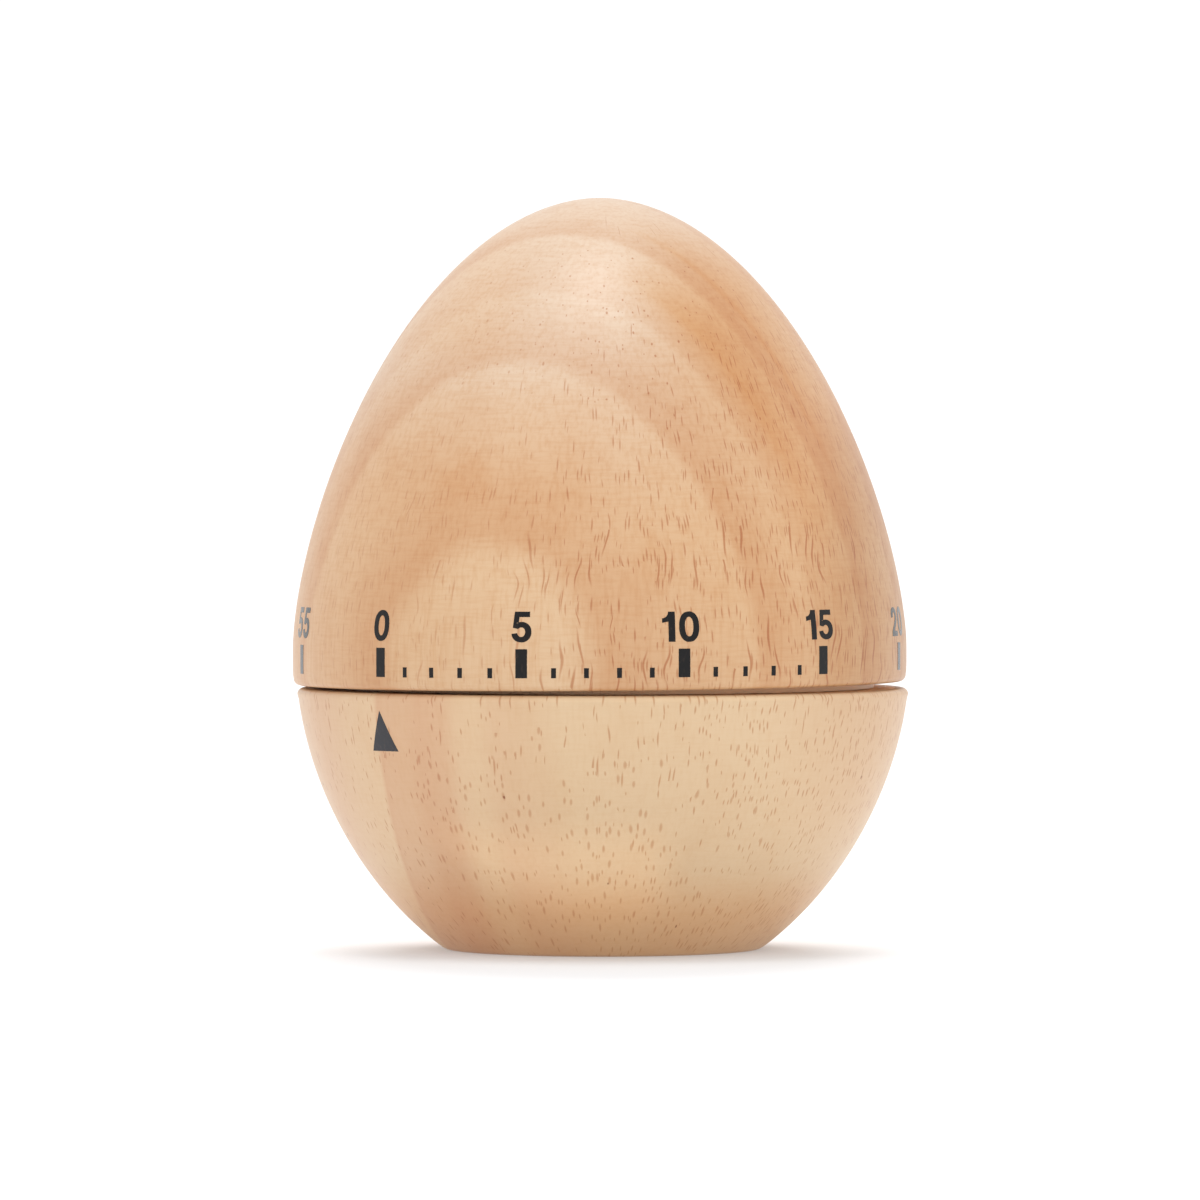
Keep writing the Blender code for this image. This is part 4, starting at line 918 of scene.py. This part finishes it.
def make_metal(name, tone, shade, roughness, stretch):
    """Rolled or turned metal with fine working marks."""
    graph = Graph(name)
    place = graph.millimetres()
    stretched = graph.vector("MULTIPLY", place, stretch)
    marks = graph.noise(stretched, MARKS_SCALE, MARKS_DETAIL, MARKS_ROUGHNESS)
    colour = graph.mix(graph.ease(marks, *MARKS_LIMITS), tone, shade)
    tarnish = graph.ease(graph.noise(place, TARNISH_SCALE), *TARNISH_LIMITS)
    graph.principled(
        Base_Color=graph.mix(tarnish, colour, shade),
        Metallic=1.0,
        Roughness=graph.math("MULTIPLY_ADD", marks, MARKS_GLOSS, roughness),
        Normal=graph.bump(marks, MARKS_RELIEF, MARKS_DEPTH),
    )
    return graph.material


PLASTIC_DARK, PLASTIC_LIGHT = rgb(38, 38, 41), rgb(52, 52, 56)
SPARK_SCALE, SPARK_GLOSS, SPARK_RELIEF, SPARK_DEPTH = 9.0, (0.2, 0.8, 0.45, 0.6), 0.1, 0.00003
PLASTIC_CLOUDS = 0.6


def make_plastic(name):
    """Moulded plastic with a fine spark-eroded grain."""
    graph = Graph(name)
    place = graph.millimetres()
    grain = graph.noise(place, SPARK_SCALE)
    graph.principled(
        Base_Color=graph.mix(graph.noise(place, PLASTIC_CLOUDS), PLASTIC_DARK, PLASTIC_LIGHT),
        Roughness=graph.ease(grain, *SPARK_GLOSS),
        Normal=graph.bump(grain, SPARK_RELIEF, SPARK_DEPTH),
    )
    return graph.material


def paint(skins):
    """Gives every piece and every CAD node that still shows its material."""
    dial, base, numbers, marks, pointer = skins
    made = {slot: make_metal(*looks) for slot, looks in METALS.items()}
    made["hub_plastic"] = make_plastic("moulded_hub")
    slots = {part["node"]: part["material_slot"] for part in frame["record"]["subparts"]}
    for name, node in frame["nodes"].items():
        if slots[name] in made:
            node.data.materials.clear()
            node.data.materials.append(made[slots[name]])
    dial.data.materials.append(make_dial_wood())
    base.data.materials.append(make_base_wood())
    scale_ink = make_ink("stamped_ink", SCALE_INK, SCALE_WEAR)
    for piece in (numbers, marks):
        piece.data.materials.append(scale_ink)
    pointer.data.materials.append(make_ink("pointer_ink", POINTER_INK, POINTER_WEAR))


# ---------------- studio ------------------------------------------------------------------------

# The camera looks slightly down, at a point given in millimetres. The rest is in metres, except
# for the lens and sensor, and angles are in degrees.
CAMERA_DISTANCE, CAMERA_PITCH, CAMERA_LENS, SENSOR = 1.03, 1.15, 316.0, 36.0
CLIP_NEAR, CLIP_FAR = 0.01, 100.0
AIM_X, AIM_Z = -0.27, 34.1
FLOOR_HALF, FLOOR_ROUGHNESS, FLOOR_SPECULAR = 30.0, 0.9, 0.1
FLOOR_TONE, FLOOR_GLOW = (0.56, 0.56, 0.57, 1.0), 0.25
WHITE, SKY_STRENGTH = (1, 1, 1, 1), 1.09
KEY_SIZE, KEY_POWER, KEY_PLACE = 0.36, 2.45, (-0.03, -0.12, 1.0)
BACK_ANGLE, BACK_STRENGTH, BACK_PLACE = 40.0, 2.4, (0.0, 1.0, 1.0)


def make_stage():
    bm = bmesh.new()
    bmesh.ops.create_grid(bm, x_segments=1, y_segments=1, size=FLOOR_HALF)
    mesh = bpy.data.meshes.new("floor")
    bm.to_mesh(mesh)
    bm.free()
    floor = bpy.data.objects.new("floor", mesh)
    bpy.context.scene.collection.objects.link(floor)
    graph = Graph("studio_white")
    graph.principled(
        Base_Color=FLOOR_TONE,
        Roughness=FLOOR_ROUGHNESS,
        Specular_IOR_Level=FLOOR_SPECULAR,
        Emission_Color=WHITE,
        Emission_Strength=FLOOR_GLOW,
    )
    mesh.materials.append(graph.material)
    return floor


def place_light(name, lamp, place):
    """Puts a lamp at a place, shining towards the foot of the egg."""
    light = bpy.data.objects.new(name, lamp)
    light.location = place
    light.rotation_mode = "QUATERNION"
    light.rotation_quaternion = Vector(place).to_track_quat("Z", "Y")
    bpy.context.scene.collection.objects.link(light)
    return light


def make_lights(floor):
    """A white sky, a softbox above, and a soft light from behind that falls only on the table."""
    world = bpy.data.worlds.new("studio")
    bpy.context.scene.world = world
    world.use_nodes = True
    sky = world.node_tree.nodes["Background"]
    sky.inputs["Color"].default_value = WHITE
    sky.inputs["Strength"].default_value = SKY_STRENGTH
    lamp = bpy.data.lights.new("softbox", "AREA")
    lamp.shape = "SQUARE"
    lamp.size = KEY_SIZE
    lamp.energy = KEY_POWER
    place_light("softbox", lamp, KEY_PLACE)
    lamp = bpy.data.lights.new("backlight", "SUN")
    lamp.angle = radians(BACK_ANGLE)
    lamp.energy = BACK_STRENGTH
    backlight = place_light("backlight", lamp, BACK_PLACE)
    table = bpy.data.collections.new("lit_by_backlight")
    table.objects.link(floor)
    backlight.light_linking.receiver_collection = table


def make_camera():
    scene = bpy.context.scene
    data = bpy.data.cameras.new("camera")
    data.lens = CAMERA_LENS
    data.sensor_width = SENSOR
    data.clip_start, data.clip_end = CLIP_NEAR, CLIP_FAR
    camera = bpy.data.objects.new("camera", data)
    scene.collection.objects.link(camera)
    pitch = radians(CAMERA_PITCH)
    back = Vector((0, -cos(pitch), sin(pitch)))
    camera.location = Vector((AIM_X * MM, 0, AIM_Z * MM)) + back * CAMERA_DISTANCE
    camera.rotation_mode = "QUATERNION"
    camera.rotation_quaternion = back.to_track_quat("Z", "Y")
    scene.camera = camera
    scene.view_settings.view_transform = "Standard"


make_camera()
make_lights(make_stage())
paint((make_dial_skin(), make_base_skin(), make_numbers(), make_minute_marks(), make_pointer()))
